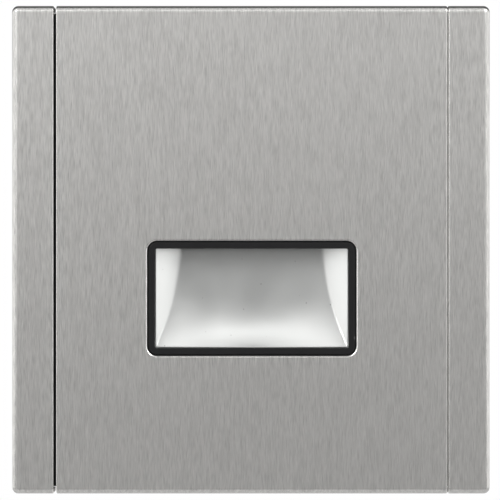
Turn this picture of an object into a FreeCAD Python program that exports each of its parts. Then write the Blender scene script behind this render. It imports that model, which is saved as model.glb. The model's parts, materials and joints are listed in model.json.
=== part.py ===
import FreeCAD
import Part
import math
import os

# Recessed step light with a brushed steel face. A wall box sits in the wall, a mounting frame screws
# to it, two snap-on trims hide the frame screws, and the light module between them pulls straight out.
# The module carries the face plate, the window bezel, a scooped reflector, an LED engine that shines
# down into the scoop, the driver and a row of lever terminals.
# Frame: +Z up, the face looks along -Y, the wall surface is the plane y = 0 and x = z = 0 is the
# middle of the face outline. Sizes are in millimetres.

# ---- face ----
face_width = 106.5
face_height = 108.7
sheet = 1.0              # steel of the face plate and the trims
bend_radius = 1.4        # outside of every fold
edge_break = 0.25        # sheared edges beside the gaps
trim_width = 9.3
tool_gap = 0.6           # left gap, wide enough for a flat tool
plain_gap = 0.2          # right gap
cover_lift = 0.8         # folded edges end this far from the wall

# ---- window ----
window_width = 46.5
window_height = 25.5
window_corner = 2.2
window_drop = 10.8       # middle of the window below the middle of the face
window_round = 0.45      # rolled edge of the cut-out
bezel_gap = 0.2
bezel_band = 1.5
bezel_sunk = 0.3
bezel_lip = 2.4          # how far its flange reaches behind the plate
bezel_lip_thickness = 1.2
bezel_inner_corner = 0.35

# ---- stack from the wall outwards ----
wall_seal_thickness = 1.0
seal_inset = 0.2         # the wall seal inside the frame's edge and outside the wall box
frame_thickness = 2.0
module_seal_thickness = 1.0
flange_thickness = 2.0   # front wall of the module chassis
rail_height = 1.2        # side rails that the trims sit on
seat_gap = 0.1           # between pieces that only just clear each other

# ---- mounting frame ----
frame_inset = 0.35       # between the frame and the folded edges round it
frame_corner = 1.2
frame_opening_side = 1.5     # between the chassis wall and the opening, left and right
rail_gap = 0.1               # the rails start this far outside the trims' inner edges
rail_end = 3.2               # they stop short of the frame's top and bottom
rail_web = 0.15              # left beside each countersink
frame_screw_radius = 1.5
frame_screw_head_radius = 2.8
frame_screw_length = 14.0
frame_screw_z = 36.0
screw_clear = 0.15
screw_sink = 0.3             # flat step above each countersink
screw_land = 0.25            # straight rim of each countersunk head
thread_gap = 0.05            # round a screw in the hole that it bites in
hole_end_gap = 0.5           # beyond a screw's tip

# ---- trims ----
carrier_end_gap = 1.2
carrier_side_gap = 0.5       # inside the folded side of its trim
peg_radius = 1.6
peg_gap = 0.1
peg_z = 22.0
peg_slot = 0.8
peg_slot_start = 0.6     # solid root of each split peg
peg_lead = 0.4           # chamfer on its tip
head_pocket_gap = 0.2    # round a frame screw's head in the carrier
head_pocket_depth = 0.5

# ---- module chassis ----
flange_ledge_side = 4.3      # flange beyond the chassis walls, left and right
flange_ledge_end = 7.5       # and at the top and bottom
chassis_wall = 2.0
chassis_depth = 23.5
chassis_corner = 3.0
chassis_inner_corner = 2.0
flange_corner = 1.0
flange_margin = 0.75         # flange edge inside the plate edge
flange_end_gap = 0.8         # flange inside the plate's folds
module_seal_inset = 0.4      # from the flange's edge and the frame's opening
stud_radius = 1.5
stud_inset_side = 7.5        # from the chassis's outer faces
stud_inset_end = 17.0
stud_length = 5.2
nut_flat_radius = 2.75
nut_thickness = 2.2
boss_radius = 3.0
boss_inset = 5.5             # cover screws from the chassis's outer faces
boss_clear = 0.3             # round the bosses in the driver board

# ---- reflector ----
scoop_depth = 5.2
scoop_wall = 1.3
scoop_side_run = 7.0         # how far each side wall comes in
scoop_side_lean = 0.85
scoop_floor_lean = 0.27
scoop_headroom = 1.4         # ceiling above the bezel's inner edge
scoop_flange = 3.0
scoop_flange_thickness = 1.2
scoop_seal_thickness = 0.5

# ---- LED engine ----
lens_width = 27.8
lens_run = 2.4               # front to back
lens_lip = 1.0
lens_lip_thickness = 1.05
lens_gap = 0.1
holder_height = 2.6
holder_front_margin = 0.2    # in front of the lens lip
holder_back_margin = 3.4     # behind it
led_board_thickness = 1.6
led_count = 3
led_pitch = 8.0
led_width = 3.0
led_run = 2.0
led_height = 0.8
led_dome_radius = 1.1
led_dome_height = 0.45       # how far the lens of each LED stands out
bracket_thickness = 2.0
bracket_rise = 10.0
fin_count = 5
fin_thickness = 1.0
fin_height = 4.0
engine_screw_radius = 1.25
engine_screw_head_radius = 2.2
engine_screw_inset = 2.35    # from the holder's ends
engine_boss_wall = 0.9
engine_screw_bite = 0.9      # into the reflector's roof
engine_screw_head_height = 1.6

# ---- screw heads, as shares of the head's own height or radius ----
pan_round = 0.45
cross_depth = 0.55
cross_reach = 0.62
cross_width = 0.18

# ---- driver ----
driver_board_thickness = 1.6
driver_back_gap = 3.9        # between the driver board and the chassis's open end
driver_drop = 3.0            # its top edge below the chassis's outer face
driver_lift = 2.8            # its bottom edge above the LED board
post_radius = 2.4
post_screw_radius = 1.1
post_screw_head_radius = 2.1
post_screw_head_height = 1.4
post_screw_length = 5.0      # in the post
post_inset = 2.4             # from the board's sides and bottom edge
post_drop = 8.5              # upper posts below the board's top edge
choke_inset = 13.2           # from the board's left side
choke_drop = 13.0            # each drop is from the board's top edge
choke_radius = 6.0
choke_core_radius = 3.0
choke_winding_radius = 5.2
choke_height = 5.0
choke_cheek = 1.3
capacitor_x = -4.0           # from the module's middle, as for the chips
capacitor_drop = 10.0
capacitor_radius = 4.0
capacitor_length = 10.5
capacitor_round = 0.6
capacitor_groove = 0.35      # deep
capacitor_groove_width = 0.8
capacitor_groove_base = 2.0  # from the board
film_capacitor_inset = 10.7  # from the board's right side
film_capacitor_drop = 10.5
film_capacitor_width = 10.0
film_capacitor_height = 9.0
film_capacitor_depth = 5.0
film_capacitor_round = 0.5
chip_places = ((6.0, 8.0), (6.0, 16.0), (-14.0, 23.0), (-5.0, 21.0))
chip_width = 5.0
chip_height = 4.4
chip_depth = 1.8
chip_bevel = 0.25
lead_radius = 0.7
lead_pitch = 1.7
lead_plug_width = 4.2
lead_plug_gap = 0.5          # beside the heat bracket
lead_start = 1.2             # straight run out of each plug
lead_plug_height = 3.0
lead_plug_run = 4.0

# ---- rear cover ----
cover_seal_thickness = 0.5
rear_cover_thickness = 2.5
cover_lip_height = 1.6
cover_lip_thickness = 1.4
cover_lip_gap = 0.2
cover_screw_radius = 1.45
cover_screw_head_radius = 2.8
cover_screw_head_height = 1.8
cover_screw_length = 10.0
rear_cover_round = 0.8
rib_count = 7
rib_thickness = 1.2
rib_height = 1.2
rib_pitch = 6.0
rib_margin = 14.0            # from the cover's sides
rib_drop = 15.0              # middle of the ribs below the middle of the cover

# ---- lever terminals ----
pole_count = 4
pole_pitch = 5.5
terminal_depth = 14.4        # from the driver board to the rear face
terminal_height = 16.0
terminal_drop = 2.0              # below the driver board's top edge
terminal_round = 0.5
terminal_gap = 0.3           # round the block in the rear cover
lever_recess = 2.3
lever_partition = 0.7
lever_side_gap = 0.15
lever_thickness = 1.5
lever_length = 11.6
lever_pin_radius = 0.8
lever_pin_gap = 0.06
lever_eye_radius = 1.25
lever_round = 0.4
lever_grip_radius = 0.55
lever_grip_inset = 1.2       # from the lever's tip
lever_pin_bite = 0.25        # of each pin's end in the block
port_wall = 0.9              # between the wire ports and the lever recess
wire_port = 3.2
wire_port_depth = 10.0
terminal_end_wall = 0.9

# ---- retaining springs ----
spring_thickness = 0.4
spring_width = 8.0
spring_z = 16.0
spring_bulge = 1.0           # past the edge of the frame opening, behind the frame
spring_crest = 2.3           # behind the frame
spring_foot_end = 12.0       # the flat foot on the chassis runs from here
spring_foot_start = 4.5      # to here, behind the wall surface
spring_ramp = 3.6            # from the crest forwards to the shoulder
spring_shoulder = 0.45       # off the chassis there
spring_tip = 0.5             # from the shoulder forwards to the tip

# ---- wall box ----
box_inset = 3.3          # its outer faces inside the edge of the face
box_wall = 2.0
box_back = 47.0              # rear face behind the wall surface
box_corner = 5.0
box_inner_corner = 4.0
box_boss_radius = 2.75
box_boss_length = 17.0
grip_rib_height = 1.0
grip_rib_width = 1.6
grip_rib_start = 8.0     # behind the wall surface
grip_rib_pitch = 16.0
grip_rib_count = 3
spot_margin = 0.8        # flat round each entry and knock-out, where the ribs stop
knockout_radius = 10.0
knockout_groove = 0.9
knockout_cut = 0.8
fixing_spacing = 60.0
fixing_hole_radius = 2.3
entry_radius = 10.2
entry_x = 22.0
entry_margin = 1.3       # between a grommet and the box's back
grommet_flange_radius = 12.2
grommet_flange_thickness = 1.2
grommet_neck_gap = 0.1
grommet_bore_radius = 4.2
grommet_cone_height = 1.8
grommet_lip = 1.6
grommet_cone_radius = 9.2

# ---- worked out from the sizes above ----
frame_back = -wall_seal_thickness
frame_front = frame_back - frame_thickness
rail_front = frame_front - rail_height
flange_back = frame_front - module_seal_thickness
plate_back = flange_back - flange_thickness
face_front = plate_back - sheet
cover_back = -cover_lift
half_width = face_width / 2
half_height = face_height / 2
plate_left = -half_width + trim_width + tool_gap
plate_right = half_width - trim_width - plain_gap
plate_x = (plate_left + plate_right) / 2

frame_half_width = half_width - sheet - frame_inset
frame_half_height = half_height - sheet - frame_inset
rail_inner = half_width - trim_width + rail_gap
rail_half_width = (frame_half_width - rail_inner) / 2
rail_middle = (frame_half_width + rail_inner) / 2
frame_screw_x = rail_inner + rail_web + screw_clear + frame_screw_head_radius
frame_screw_seat = rail_front + screw_sink
countersink = frame_screw_head_radius - frame_screw_radius

flange_half_width = (plate_right - plate_left) / 2 - flange_margin
flange_half_height = half_height - sheet - flange_end_gap
chassis_half_width = flange_half_width - flange_ledge_side
chassis_half_height = flange_half_height - flange_ledge_end
opening_half_width = chassis_half_width + frame_opening_side
opening_half_height = chassis_half_height + frame_opening_side
module_seal_width = flange_ledge_side - frame_opening_side - 2 * module_seal_inset
stud_x = chassis_half_width - stud_inset_side
stud_z = chassis_half_height - stud_inset_end
boss_x = chassis_half_width - boss_inset
boss_z = chassis_half_height - boss_inset
chassis_end = flange_back + chassis_depth
cover_front = chassis_end + cover_seal_thickness
cover_rear = cover_front + rear_cover_thickness

window_z = -window_drop
bezel_half_width = window_width / 2 - bezel_gap
bezel_half_height = window_height / 2 - bezel_gap
mouth_half_width = bezel_half_width - bezel_band
mouth_half_height = bezel_half_height - bezel_band
mouth_y = flange_back + scoop_seal_thickness
scoop_ceiling = window_z + mouth_half_height + scoop_headroom
scoop_back = mouth_y + scoop_depth

engine_base = scoop_ceiling + scoop_wall
lens_top = engine_base + lens_lip_thickness
led_board_base = lens_top + holder_height
led_board_top = led_board_base + led_board_thickness
holder_front = mouth_y + scoop_flange_thickness + seat_gap
lens_y = holder_front + holder_front_margin + lens_lip
holder_back = lens_y + lens_run + lens_lip + holder_back_margin
engine_y = lens_y + lens_run / 2
engine_boss_radius = engine_screw_radius + engine_boss_wall
engine_screw_x = lens_width / 2 + lens_lip + lens_gap + engine_boss_radius
holder_half_width = engine_screw_x + engine_screw_inset

driver_rear = chassis_end - driver_back_gap
driver_front = driver_rear - driver_board_thickness
driver_top = chassis_half_height - driver_drop
driver_base = led_board_top + driver_lift
lead_x = plate_x + holder_half_width + lead_plug_gap + lead_plug_width / 2
driver_half_width = lead_x - plate_x + lead_plug_width / 2 + 2 * seat_gap + 2 * post_inset
choke_x = plate_x - driver_half_width + choke_inset
film_capacitor_x = plate_x + driver_half_width - film_capacitor_inset
lead_bend = driver_front - lead_plug_run - lead_start - engine_y
lead_level = led_board_top + lead_plug_height + lead_start + lead_bend

terminal_rear = driver_rear + terminal_depth
terminal_half_width = pole_count * pole_pitch / 2 + terminal_end_wall
terminal_top = driver_top - terminal_drop
terminal_base = terminal_top - terminal_height
lever_pin_y = terminal_rear - lever_recess + lever_eye_radius + lever_side_gap
lever_pin_z = terminal_top - lever_eye_radius - 2 * lever_side_gap - terminal_end_wall

box_half_width = half_width - box_inset
box_half_height = half_height - box_inset
box_inner_half_width = box_half_width - box_wall
box_inner_half_height = box_half_height - box_wall
entry_y = box_back - box_wall - entry_margin - grommet_flange_radius


def vec(x, y, z):
    return FreeCAD.Vector(x, y, z)


def block(x0, x1, y0, y1, z0, z1):
    return Part.makeBox(x1 - x0, y1 - y0, z1 - z0, vec(x0, y0, z0))


def rod(axis, at, radius, start, end):
    """A cylinder along one axis; at holds its two other coordinates in x, y, z order."""
    if axis == "x":
        return Part.makeCylinder(radius, end - start, vec(start, at[0], at[1]), vec(1, 0, 0))
    if axis == "y":
        return Part.makeCylinder(radius, end - start, vec(at[0], start, at[1]), vec(0, 1, 0))
    return Part.makeCylinder(radius, end - start, vec(at[0], at[1], start), vec(0, 0, 1))


def slab(half_x, half_z, corner, y0, y1, x=0.0, z=0.0):
    """A plate across the Y axis with its four corners rounded in the XZ plane."""
    plate = block(x - half_x, x + half_x, y0, y1, z - half_z, z + half_z)
    if corner <= 0:
        return plate
    return rounded(plate, corner, lambda e: along(e, "y"))


def join(shapes):
    whole = shapes[0]
    for shape in shapes[1:]:
        whole = whole.fuse(shape)
    return whole.removeSplitter()


def along(edge, axis):
    """True for a straight edge that runs along the axis."""
    box = edge.BoundBox
    spans = {"x": box.XLength, "y": box.YLength, "z": box.ZLength}
    return spans[axis] > 1e-6 and all(spans[a] < 1e-6 for a in spans if a != axis)


def rounded(shape, radius, chosen):
    return shape.makeFillet(radius, [e for e in shape.Edges if chosen(e)])


def near(value, target):
    return abs(value - target) < 1e-4


def on_plane_x(edge, x):
    box = edge.BoundBox
    return near(box.XMin, x) and near(box.XMax, x)


def on_plane_y(edge, y):
    box = edge.BoundBox
    return near(box.YMin, y) and near(box.YMax, y)


def on_plane_z(edge, z):
    box = edge.BoundBox
    return near(box.ZMin, z) and near(box.ZMax, z)


def mirrored_x(shape, x=0.0):
    return shape.mirror(vec(x, 0, 0), vec(1, 0, 0))


def group(shapes):
    return Part.makeCompound(shapes)


def inside_of(edge, half_x, half_z):
    """True for an edge within a rectangle round the middle of the window."""
    box = edge.BoundBox
    reach_x = max(abs(box.XMin - plate_x), abs(box.XMax - plate_x))
    reach_z = max(abs(box.ZMin - window_z), abs(box.ZMax - window_z))
    return reach_x < half_x + seat_gap and reach_z < half_z + seat_gap


# ---- face ----

def folded_body(x0, x1, inset, outer_left, outer_right):
    """The outside of a folded cover when inset is 0, or the hollow behind its sheet."""
    radius = bend_radius - inset
    front = face_front + inset
    top = half_height - inset
    reach = 1.0 if inset else 0.0
    left = x0 + (inset if outer_left else -reach)
    right = x1 - (inset if outer_right else -reach)
    body = block(left, right, front, cover_back + reach, -top, top)

    def folds(edge):
        if along(edge, "x"):
            return on_plane_y(edge, front)
        for side, outer in ((left, outer_left), (right, outer_right)):
            if outer and on_plane_x(edge, side):
                return on_plane_y(edge, front) or along(edge, "y")
        return False

    return rounded(body, radius, folds)


def folded_cover(x0, x1, outer_left=False, outer_right=False):
    """A sheet face with its top and bottom folded to the wall, and its outer side if it has one."""
    body = folded_body(x0, x1, 0.0, outer_left, outer_right)
    sheared = [x for x, outer in ((x0, outer_left), (x1, outer_right)) if not outer]
    for side in sheared:
        body = rounded(
            body, edge_break, lambda e: on_plane_x(e, side) and not on_plane_y(e, cover_back)
        )
    return body.cut(folded_body(x0, x1, sheet, outer_left, outer_right))


def front_plate():
    plate = folded_cover(plate_left, plate_right)
    cut_out = slab(
        window_width / 2, window_height / 2, window_corner,
        face_front - 1, plate_back + 1, plate_x, window_z,
    )
    plate = plate.cut(cut_out)

    def rim(edge):
        return inside_of(edge, window_width / 2, window_height / 2) and on_plane_y(edge, face_front)

    return rounded(plate, window_round, rim)


def left_trim():
    return folded_cover(-half_width, -half_width + trim_width, outer_left=True)


def right_trim():
    return folded_cover(half_width - trim_width, half_width, outer_right=True)


def trim_carrier(side):
    """Plastic insert bonded behind a trim, with two split pegs that snap into the frame."""
    outer = half_width - sheet - carrier_side_gap
    inner = half_width - trim_width + edge_break
    back = rail_front - seat_gap
    end = half_height - sheet - carrier_end_gap
    body = block(inner, outer, plate_back, back, -end, end)
    tip = frame_back - seat_gap
    for z in (-peg_z, peg_z):
        peg = rod("y", (rail_middle, z), peg_radius, back, tip)
        peg = peg.makeChamfer(peg_lead, [e for e in peg.Edges if on_plane_y(e, tip)])
        slot = block(rail_middle - peg_slot / 2, rail_middle + peg_slot / 2,
                     back + peg_slot_start, tip + 1, z - peg_radius - 1, z + peg_radius + 1)
        body = body.fuse(peg.cut(slot))
    for z in (-frame_screw_z, frame_screw_z):
        pocket = rod("y", (frame_screw_x, z), frame_screw_head_radius + head_pocket_gap,
                     back - head_pocket_depth, back + 1)
        body = body.cut(pocket)
    body = body.removeSplitter()
    return body if side > 0 else mirrored_x(body)


# ---- window ----

def window_bezel():
    """Black surround: a band that shows, a flange behind the plate and a sleeve to the reflector."""
    front = face_front + bezel_sunk
    band = slab(bezel_half_width, bezel_half_height, window_corner - bezel_gap,
                front, mouth_y, plate_x, window_z)
    band = rounded(band, edge_break, lambda e: on_plane_y(e, front))
    lip = slab(bezel_half_width + bezel_lip, bezel_half_height + bezel_lip, window_corner,
               plate_back, plate_back + bezel_lip_thickness, plate_x, window_z)
    bore = slab(mouth_half_width, mouth_half_height, bezel_inner_corner,
                front - 1, mouth_y + 1, plate_x, window_z)
    bezel = join([band, lip]).cut(bore)

    def inner_rim(edge):
        return inside_of(edge, mouth_half_width, mouth_half_height) and on_plane_y(edge, front)

    return rounded(bezel, edge_break / 2, inner_rim)


def curve(points):
    bezier = Part.BezierCurve()
    bezier.setPoles(points)
    return bezier.toShape()


def prism(edges, direction):
    return Part.Face(Part.Wire(edges)).extrude(direction)


def scoop_body(grow):
    """The reflector's hollow when grow is 0, and its outer skin when grow is the wall.

    The floor curve sets the depth by height and the side curve sets it across the width. What is
    common to both is the scoop, with a crease where the floor and a side reach the same depth.
    """
    deep = scoop_back + grow
    half = mouth_half_width + grow
    run = scoop_side_run
    bottom = window_z - mouth_half_height - grow
    top = scoop_ceiling + grow
    level = scoop_ceiling - scoop_headroom
    x0, x1 = plate_x - half, plate_x + half
    floor_reach = bottom + scoop_floor_lean * (level - bottom)
    floor_start, floor_bend = vec(x0, mouth_y, bottom), vec(x0, deep, floor_reach)
    floor_end, back_top = vec(x0, deep, level), vec(x0, deep, top)
    front_top = vec(x0, mouth_y, top)
    by_height = prism([
        curve([floor_start, floor_bend, floor_end]),
        Part.makeLine(floor_end, back_top),
        Part.makeLine(back_top, front_top),
        Part.makeLine(front_top, floor_start),
    ], vec(x1 - x0, 0, 0))
    lean = scoop_side_lean * run
    left_front, left_bend = vec(x0, mouth_y, bottom), vec(x0 + lean, deep, bottom)
    left_deep, right_deep = vec(x0 + run, deep, bottom), vec(x1 - run, deep, bottom)
    right_bend, right_front = vec(x1 - lean, deep, bottom), vec(x1, mouth_y, bottom)
    by_width = prism([
        curve([left_front, left_bend, left_deep]),
        Part.makeLine(left_deep, right_deep),
        curve([right_deep, right_bend, right_front]),
        Part.makeLine(right_front, left_front),
    ], vec(0, 0, top - bottom))
    return by_height.common(by_width)


def reflector_scoop():
    flange = slab(
        mouth_half_width + scoop_wall + scoop_flange,
        mouth_half_height + scoop_wall + scoop_flange,
        window_corner, mouth_y, mouth_y + scoop_flange_thickness, plate_x, window_z,
    )
    flange = flange.cut(block(plate_x - mouth_half_width, plate_x + mouth_half_width,
                              mouth_y - 1, mouth_y + scoop_flange_thickness + 1,
                              window_z - mouth_half_height, scoop_ceiling))
    shell = scoop_body(scoop_wall).cut(scoop_body(0.0))
    shelf = block(plate_x - holder_half_width, plate_x + holder_half_width,
                  mouth_y, holder_back, scoop_ceiling, engine_base)
    shelf = shelf.cut(scoop_body(0.0))
    body = join([shell, flange, shelf])
    slot = block(plate_x - lens_width / 2 - lens_gap, plate_x + lens_width / 2 + lens_gap,
                 lens_y - lens_gap, lens_y + lens_run + lens_gap,
                 scoop_ceiling - 1, engine_base + 1)
    body = body.cut(slot)
    for side in (-1, 1):
        x = plate_x + side * engine_screw_x
        boss = rod("z", (x, engine_y), engine_boss_radius, engine_base, lens_top)
        body = body.fuse(boss)
        hole = rod("z", (x, engine_y), engine_screw_radius + thread_gap, engine_base - engine_screw_bite,
                   lens_top + 1)
        body = body.cut(hole)
    return body.removeSplitter()


def scoop_seal():
    half_x = mouth_half_width + scoop_wall + scoop_flange
    half_z = mouth_half_height + scoop_wall + scoop_flange
    outer = slab(half_x, half_z, window_corner, flange_back, mouth_y, plate_x, window_z)
    inner = slab(bezel_half_width + seat_gap, bezel_half_height + seat_gap, window_corner,
                 flange_back - 1, mouth_y + 1, plate_x, window_z)
    return outer.cut(inner)


# ---- LED engine ----

def led_lens():
    half = lens_width / 2
    body = block(plate_x - half, plate_x + half, lens_y, lens_y + lens_run, scoop_ceiling, engine_base)
    lip = block(plate_x - half - lens_lip, plate_x + half + lens_lip,
                lens_y - lens_lip, lens_y + lens_run + lens_lip, engine_base, lens_top)
    return join([body, lip])


def led_holder():
    body = block(plate_x - holder_half_width, plate_x + holder_half_width,
                 holder_front, holder_back, lens_top, led_board_base)
    window_half = (led_count - 1) * led_pitch / 2 + led_width
    body = body.cut(block(plate_x - window_half, plate_x + window_half,
                          lens_y, lens_y + lens_run, lens_top - 1, led_board_base + 1))
    for side in (-1, 1):
        body = body.cut(rod("z", (plate_x + side * engine_screw_x, engine_y),
                            engine_screw_radius + seat_gap, lens_top - 1, led_board_base + 1))
    return body


def led_board():
    board = block(plate_x - holder_half_width, lead_x + lead_plug_width / 2 + lead_plug_gap,
                  holder_front, holder_back, led_board_base, led_board_top)
    for side in (-1, 1):
        board = board.cut(rod("z", (plate_x + side * engine_screw_x, engine_y),
                              engine_screw_radius + seat_gap, led_board_base - 1, led_board_top + 1))
    return board


def led_chips():
    chips = []
    for n in range(led_count):
        x = plate_x + (n - (led_count - 1) / 2) * led_pitch
        chip = block(x - led_width / 2, x + led_width / 2, engine_y - led_run / 2,
                     engine_y + led_run / 2, led_board_base - led_height, led_board_base)
        face = led_board_base - led_height
        dome = Part.makeSphere(led_dome_radius, vec(x, engine_y, face - led_dome_height + led_dome_radius))
        dome = dome.common(block(x - led_width / 2, x + led_width / 2, engine_y - led_run / 2,
                                 engine_y + led_run / 2, face - led_dome_height, led_board_base))
        chips.append(chip.fuse(dome).removeSplitter())
    return group(chips)


def heat_bracket():
    """Folded aluminium behind the LED board, with fins on its upright."""
    top = led_board_top + bracket_thickness
    left, right = plate_x - holder_half_width, plate_x + holder_half_width
    foot = block(left, right, holder_front, holder_back, led_board_top, top)
    upright = block(left, right, holder_back - bracket_thickness, holder_back,
                    led_board_top, top + bracket_rise)
    pieces = [foot, upright]
    for n in range(fin_count):
        x = left + fin_thickness / 2 + n * (right - left - fin_thickness) / (fin_count - 1)
        if abs(abs(x - plate_x) - engine_screw_x) > engine_screw_head_radius + fin_thickness / 2 + seat_gap:
            pieces.append(block(x - fin_thickness / 2, x + fin_thickness / 2,
                                holder_back - bracket_thickness - fin_height,
                                holder_back - bracket_thickness, top, top + bracket_rise))
    body = join(pieces)
    for side in (-1, 1):
        body = body.cut(rod("z", (plate_x + side * engine_screw_x, engine_y),
                            engine_screw_radius + seat_gap, led_board_top - 1, top + 1))
    return body


def pan_head(axis, at, radius, height, start, towards):
    """A domed screw head with a cross recess, from its seat at start."""
    end = start + towards * height
    low, high = min(start, end), max(start, end)
    head = rod(axis, at, radius, low, high)
    plane = {"x": on_plane_x, "y": on_plane_y, "z": on_plane_z}[axis]
    head = head.makeFillet(height * pan_round, [e for e in head.Edges if plane(e, end)])
    arm, width = radius * cross_reach, radius * cross_width
    depth = height * cross_depth
    near_end, far_end = end - towards * depth, end + towards * 0.5
    a0, a1 = min(near_end, far_end), max(near_end, far_end)
    for long_side, short_side in ((arm, width), (width, arm)):
        if axis == "y":
            cut = block(at[0] - long_side, at[0] + long_side, a0, a1, at[1] - short_side, at[1] + short_side)
        else:
            cut = block(at[0] - long_side, at[0] + long_side, at[1] - short_side, at[1] + short_side, a0, a1)
        head = head.cut(cut)
    return head


def engine_screws():
    top = led_board_top + bracket_thickness
    screws = []
    for side in (-1, 1):
        at = (plate_x + side * engine_screw_x, engine_y)
        shank = rod("z", at, engine_screw_radius, engine_base - engine_screw_bite + seat_gap, top)
        head = pan_head("z", at, engine_screw_head_radius, engine_screw_head_height, top, 1)
        screws.append(shank.fuse(head).removeSplitter())
    return group(screws)


# ---- driver ----

def driver_board():
    board = block(plate_x - driver_half_width, plate_x + driver_half_width,
                  driver_front, driver_rear, driver_base, driver_top)
    for side in (-1, 1):
        board = board.cut(rod("y", (plate_x + side * boss_x, boss_z), boss_radius + boss_clear,
                              driver_front - 1, driver_rear + 1))
    for x, z in post_places():
        board = board.cut(rod("y", (x, z), post_screw_radius + screw_clear,
                              driver_front - 1, driver_rear + 1))
    return board


def post_places():
    half = driver_half_width - post_inset
    return [(plate_x + sx * half, z)
            for sx in (-1, 1)
            for z in (driver_base + post_inset, driver_top - post_drop)]


def driver_screws():
    screws = []
    for at in post_places():
        head = pan_head("y", at, post_screw_head_radius, post_screw_head_height, driver_rear, 1)
        shank = rod("y", at, post_screw_radius, driver_front - post_screw_length, driver_rear)
        screws.append(shank.fuse(head).removeSplitter())
    return group(screws)


def choke():
    """Spool of the wound choke, with a cheek at each end."""
    at = (choke_x, driver_top - choke_drop)
    front = driver_front - choke_height
    return join([
        rod("y", at, choke_radius, front, front + choke_cheek),
        rod("y", at, choke_radius, driver_front - choke_cheek, driver_front),
        rod("y", at, choke_core_radius, front, driver_front),
    ])


def choke_winding():
    at = (choke_x, driver_top - choke_drop)
    front = driver_front - choke_height
    coil = rod("y", at, choke_winding_radius, front + choke_cheek, driver_front - choke_cheek)
    return coil.cut(rod("y", at, choke_core_radius, front, driver_front))


def capacitor():
    at = (plate_x + capacitor_x, driver_top - capacitor_drop)
    front = driver_front - capacitor_length
    can = rod("y", at, capacitor_radius, front, driver_front)
    can = rounded(can, capacitor_round, lambda e: on_plane_y(e, front))
    groove = driver_front - capacitor_groove_base
    ring = rod("y", at, capacitor_radius + 1, groove - capacitor_groove_width, groove)
    return can.cut(ring.cut(rod("y", at, capacitor_radius - capacitor_groove, front, driver_front)))


def film_capacitor():
    x, z = film_capacitor_x, driver_top - film_capacitor_drop
    front = driver_front - film_capacitor_depth
    body = block(x - film_capacitor_width / 2, x + film_capacitor_width / 2, front, driver_front,
                 z - film_capacitor_height / 2, z + film_capacitor_height / 2)
    return rounded(body, film_capacitor_round, lambda e: on_plane_y(e, front))


def driver_chips():
    chips = []
    front = driver_front - chip_depth
    for across, drop in chip_places:
        x, z = plate_x + across, driver_top - drop
        body = block(x - chip_width / 2, x + chip_width / 2, front, driver_front,
                     z - chip_height / 2, z + chip_height / 2)
        chips.append(body.makeChamfer(chip_bevel, [e for e in body.Edges if on_plane_y(e, front)]))
    return group(chips)


def lead_plugs():
    half = lead_plug_width / 2
    on_leds = block(lead_x - half, lead_x + half, engine_y - lead_plug_run / 2,
                    engine_y + lead_plug_run / 2, led_board_top, led_board_top + lead_plug_height)
    on_driver = block(lead_x - half, lead_x + half, driver_front - lead_plug_run, driver_front,
                      lead_level - lead_plug_height / 2, lead_level + lead_plug_height / 2)
    return group([on_leds, on_driver])


def led_lead():
    """Two short wires from the LED board up and back to the driver, each an arc between two runs."""
    wires = []
    start_z = led_board_top + lead_plug_height
    end_y = driver_front - lead_plug_run
    for side in (-1, 1):
        x = lead_x + side * lead_pitch / 2
        low = vec(x, engine_y, start_z)
        bend_low = vec(x, engine_y, lead_level - lead_bend)
        reach = lead_bend * (1 - math.sqrt(0.5))
        middle = vec(x, engine_y + reach, lead_level - reach)
        bend_high = vec(x, engine_y + lead_bend, lead_level)
        high = vec(x, end_y, lead_level)
        path = Part.Wire([
            Part.LineSegment(low, bend_low).toShape(),
            Part.Arc(bend_low, middle, bend_high).toShape(),
            Part.LineSegment(bend_high, high).toShape(),
        ])
        section = Part.Wire([Part.makeCircle(lead_radius, low, vec(0, 0, 1))])
        wires.append(path.makePipeShell([section], True, False))
    return group(wires)


# ---- module chassis and rear cover ----

def module_chassis():
    flange = slab(flange_half_width, flange_half_height, flange_corner, plate_back, flange_back, plate_x)
    walls = slab(chassis_half_width, chassis_half_height, chassis_corner, flange_back, chassis_end, plate_x)
    inner = slab(chassis_half_width - chassis_wall, chassis_half_height - chassis_wall,
                 chassis_inner_corner, flange_back, chassis_end + 1, plate_x)
    body = join([flange, walls]).cut(inner)
    bosses = []
    for sx in (-1, 1):
        for sz in (-1, 1):
            bosses.append(rod("y", (plate_x + sx * boss_x, sz * boss_z), boss_radius,
                              flange_back, chassis_end - cover_lip_height - seat_gap))
    for at in post_places():
        bosses.append(rod("y", at, post_radius, flange_back, driver_front))
    body = join([body] + bosses)
    for sx in (-1, 1):
        for sz in (-1, 1):
            body = body.cut(rod("y", (plate_x + sx * boss_x, sz * boss_z), cover_screw_radius + thread_gap,
                                cover_rear - cover_screw_length - hole_end_gap, chassis_end + 1))
            body = body.cut(rod("y", (plate_x + sx * stud_x, sz * stud_z), stud_radius + screw_clear,
                                plate_back - 1, flange_back + 1))
    for at in post_places():
        body = body.cut(rod("y", at, post_screw_radius + thread_gap,
                            driver_front - post_screw_length - hole_end_gap, driver_front + 1))
    window = slab(bezel_half_width + seat_gap, bezel_half_height + seat_gap, window_corner,
                  plate_back - 1, flange_back + 1, plate_x, window_z)
    recess = slab(bezel_half_width + bezel_lip + seat_gap, bezel_half_height + bezel_lip + seat_gap,
                  window_corner, plate_back - 1, plate_back + bezel_lip_thickness, plate_x, window_z)
    return body.cut(window).cut(recess).removeSplitter()


def plate_studs():
    return group([rod("y", (plate_x + sx * stud_x, sz * stud_z), stud_radius,
                      plate_back, plate_back + stud_length)
                  for sx in (-1, 1) for sz in (-1, 1)])


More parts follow.
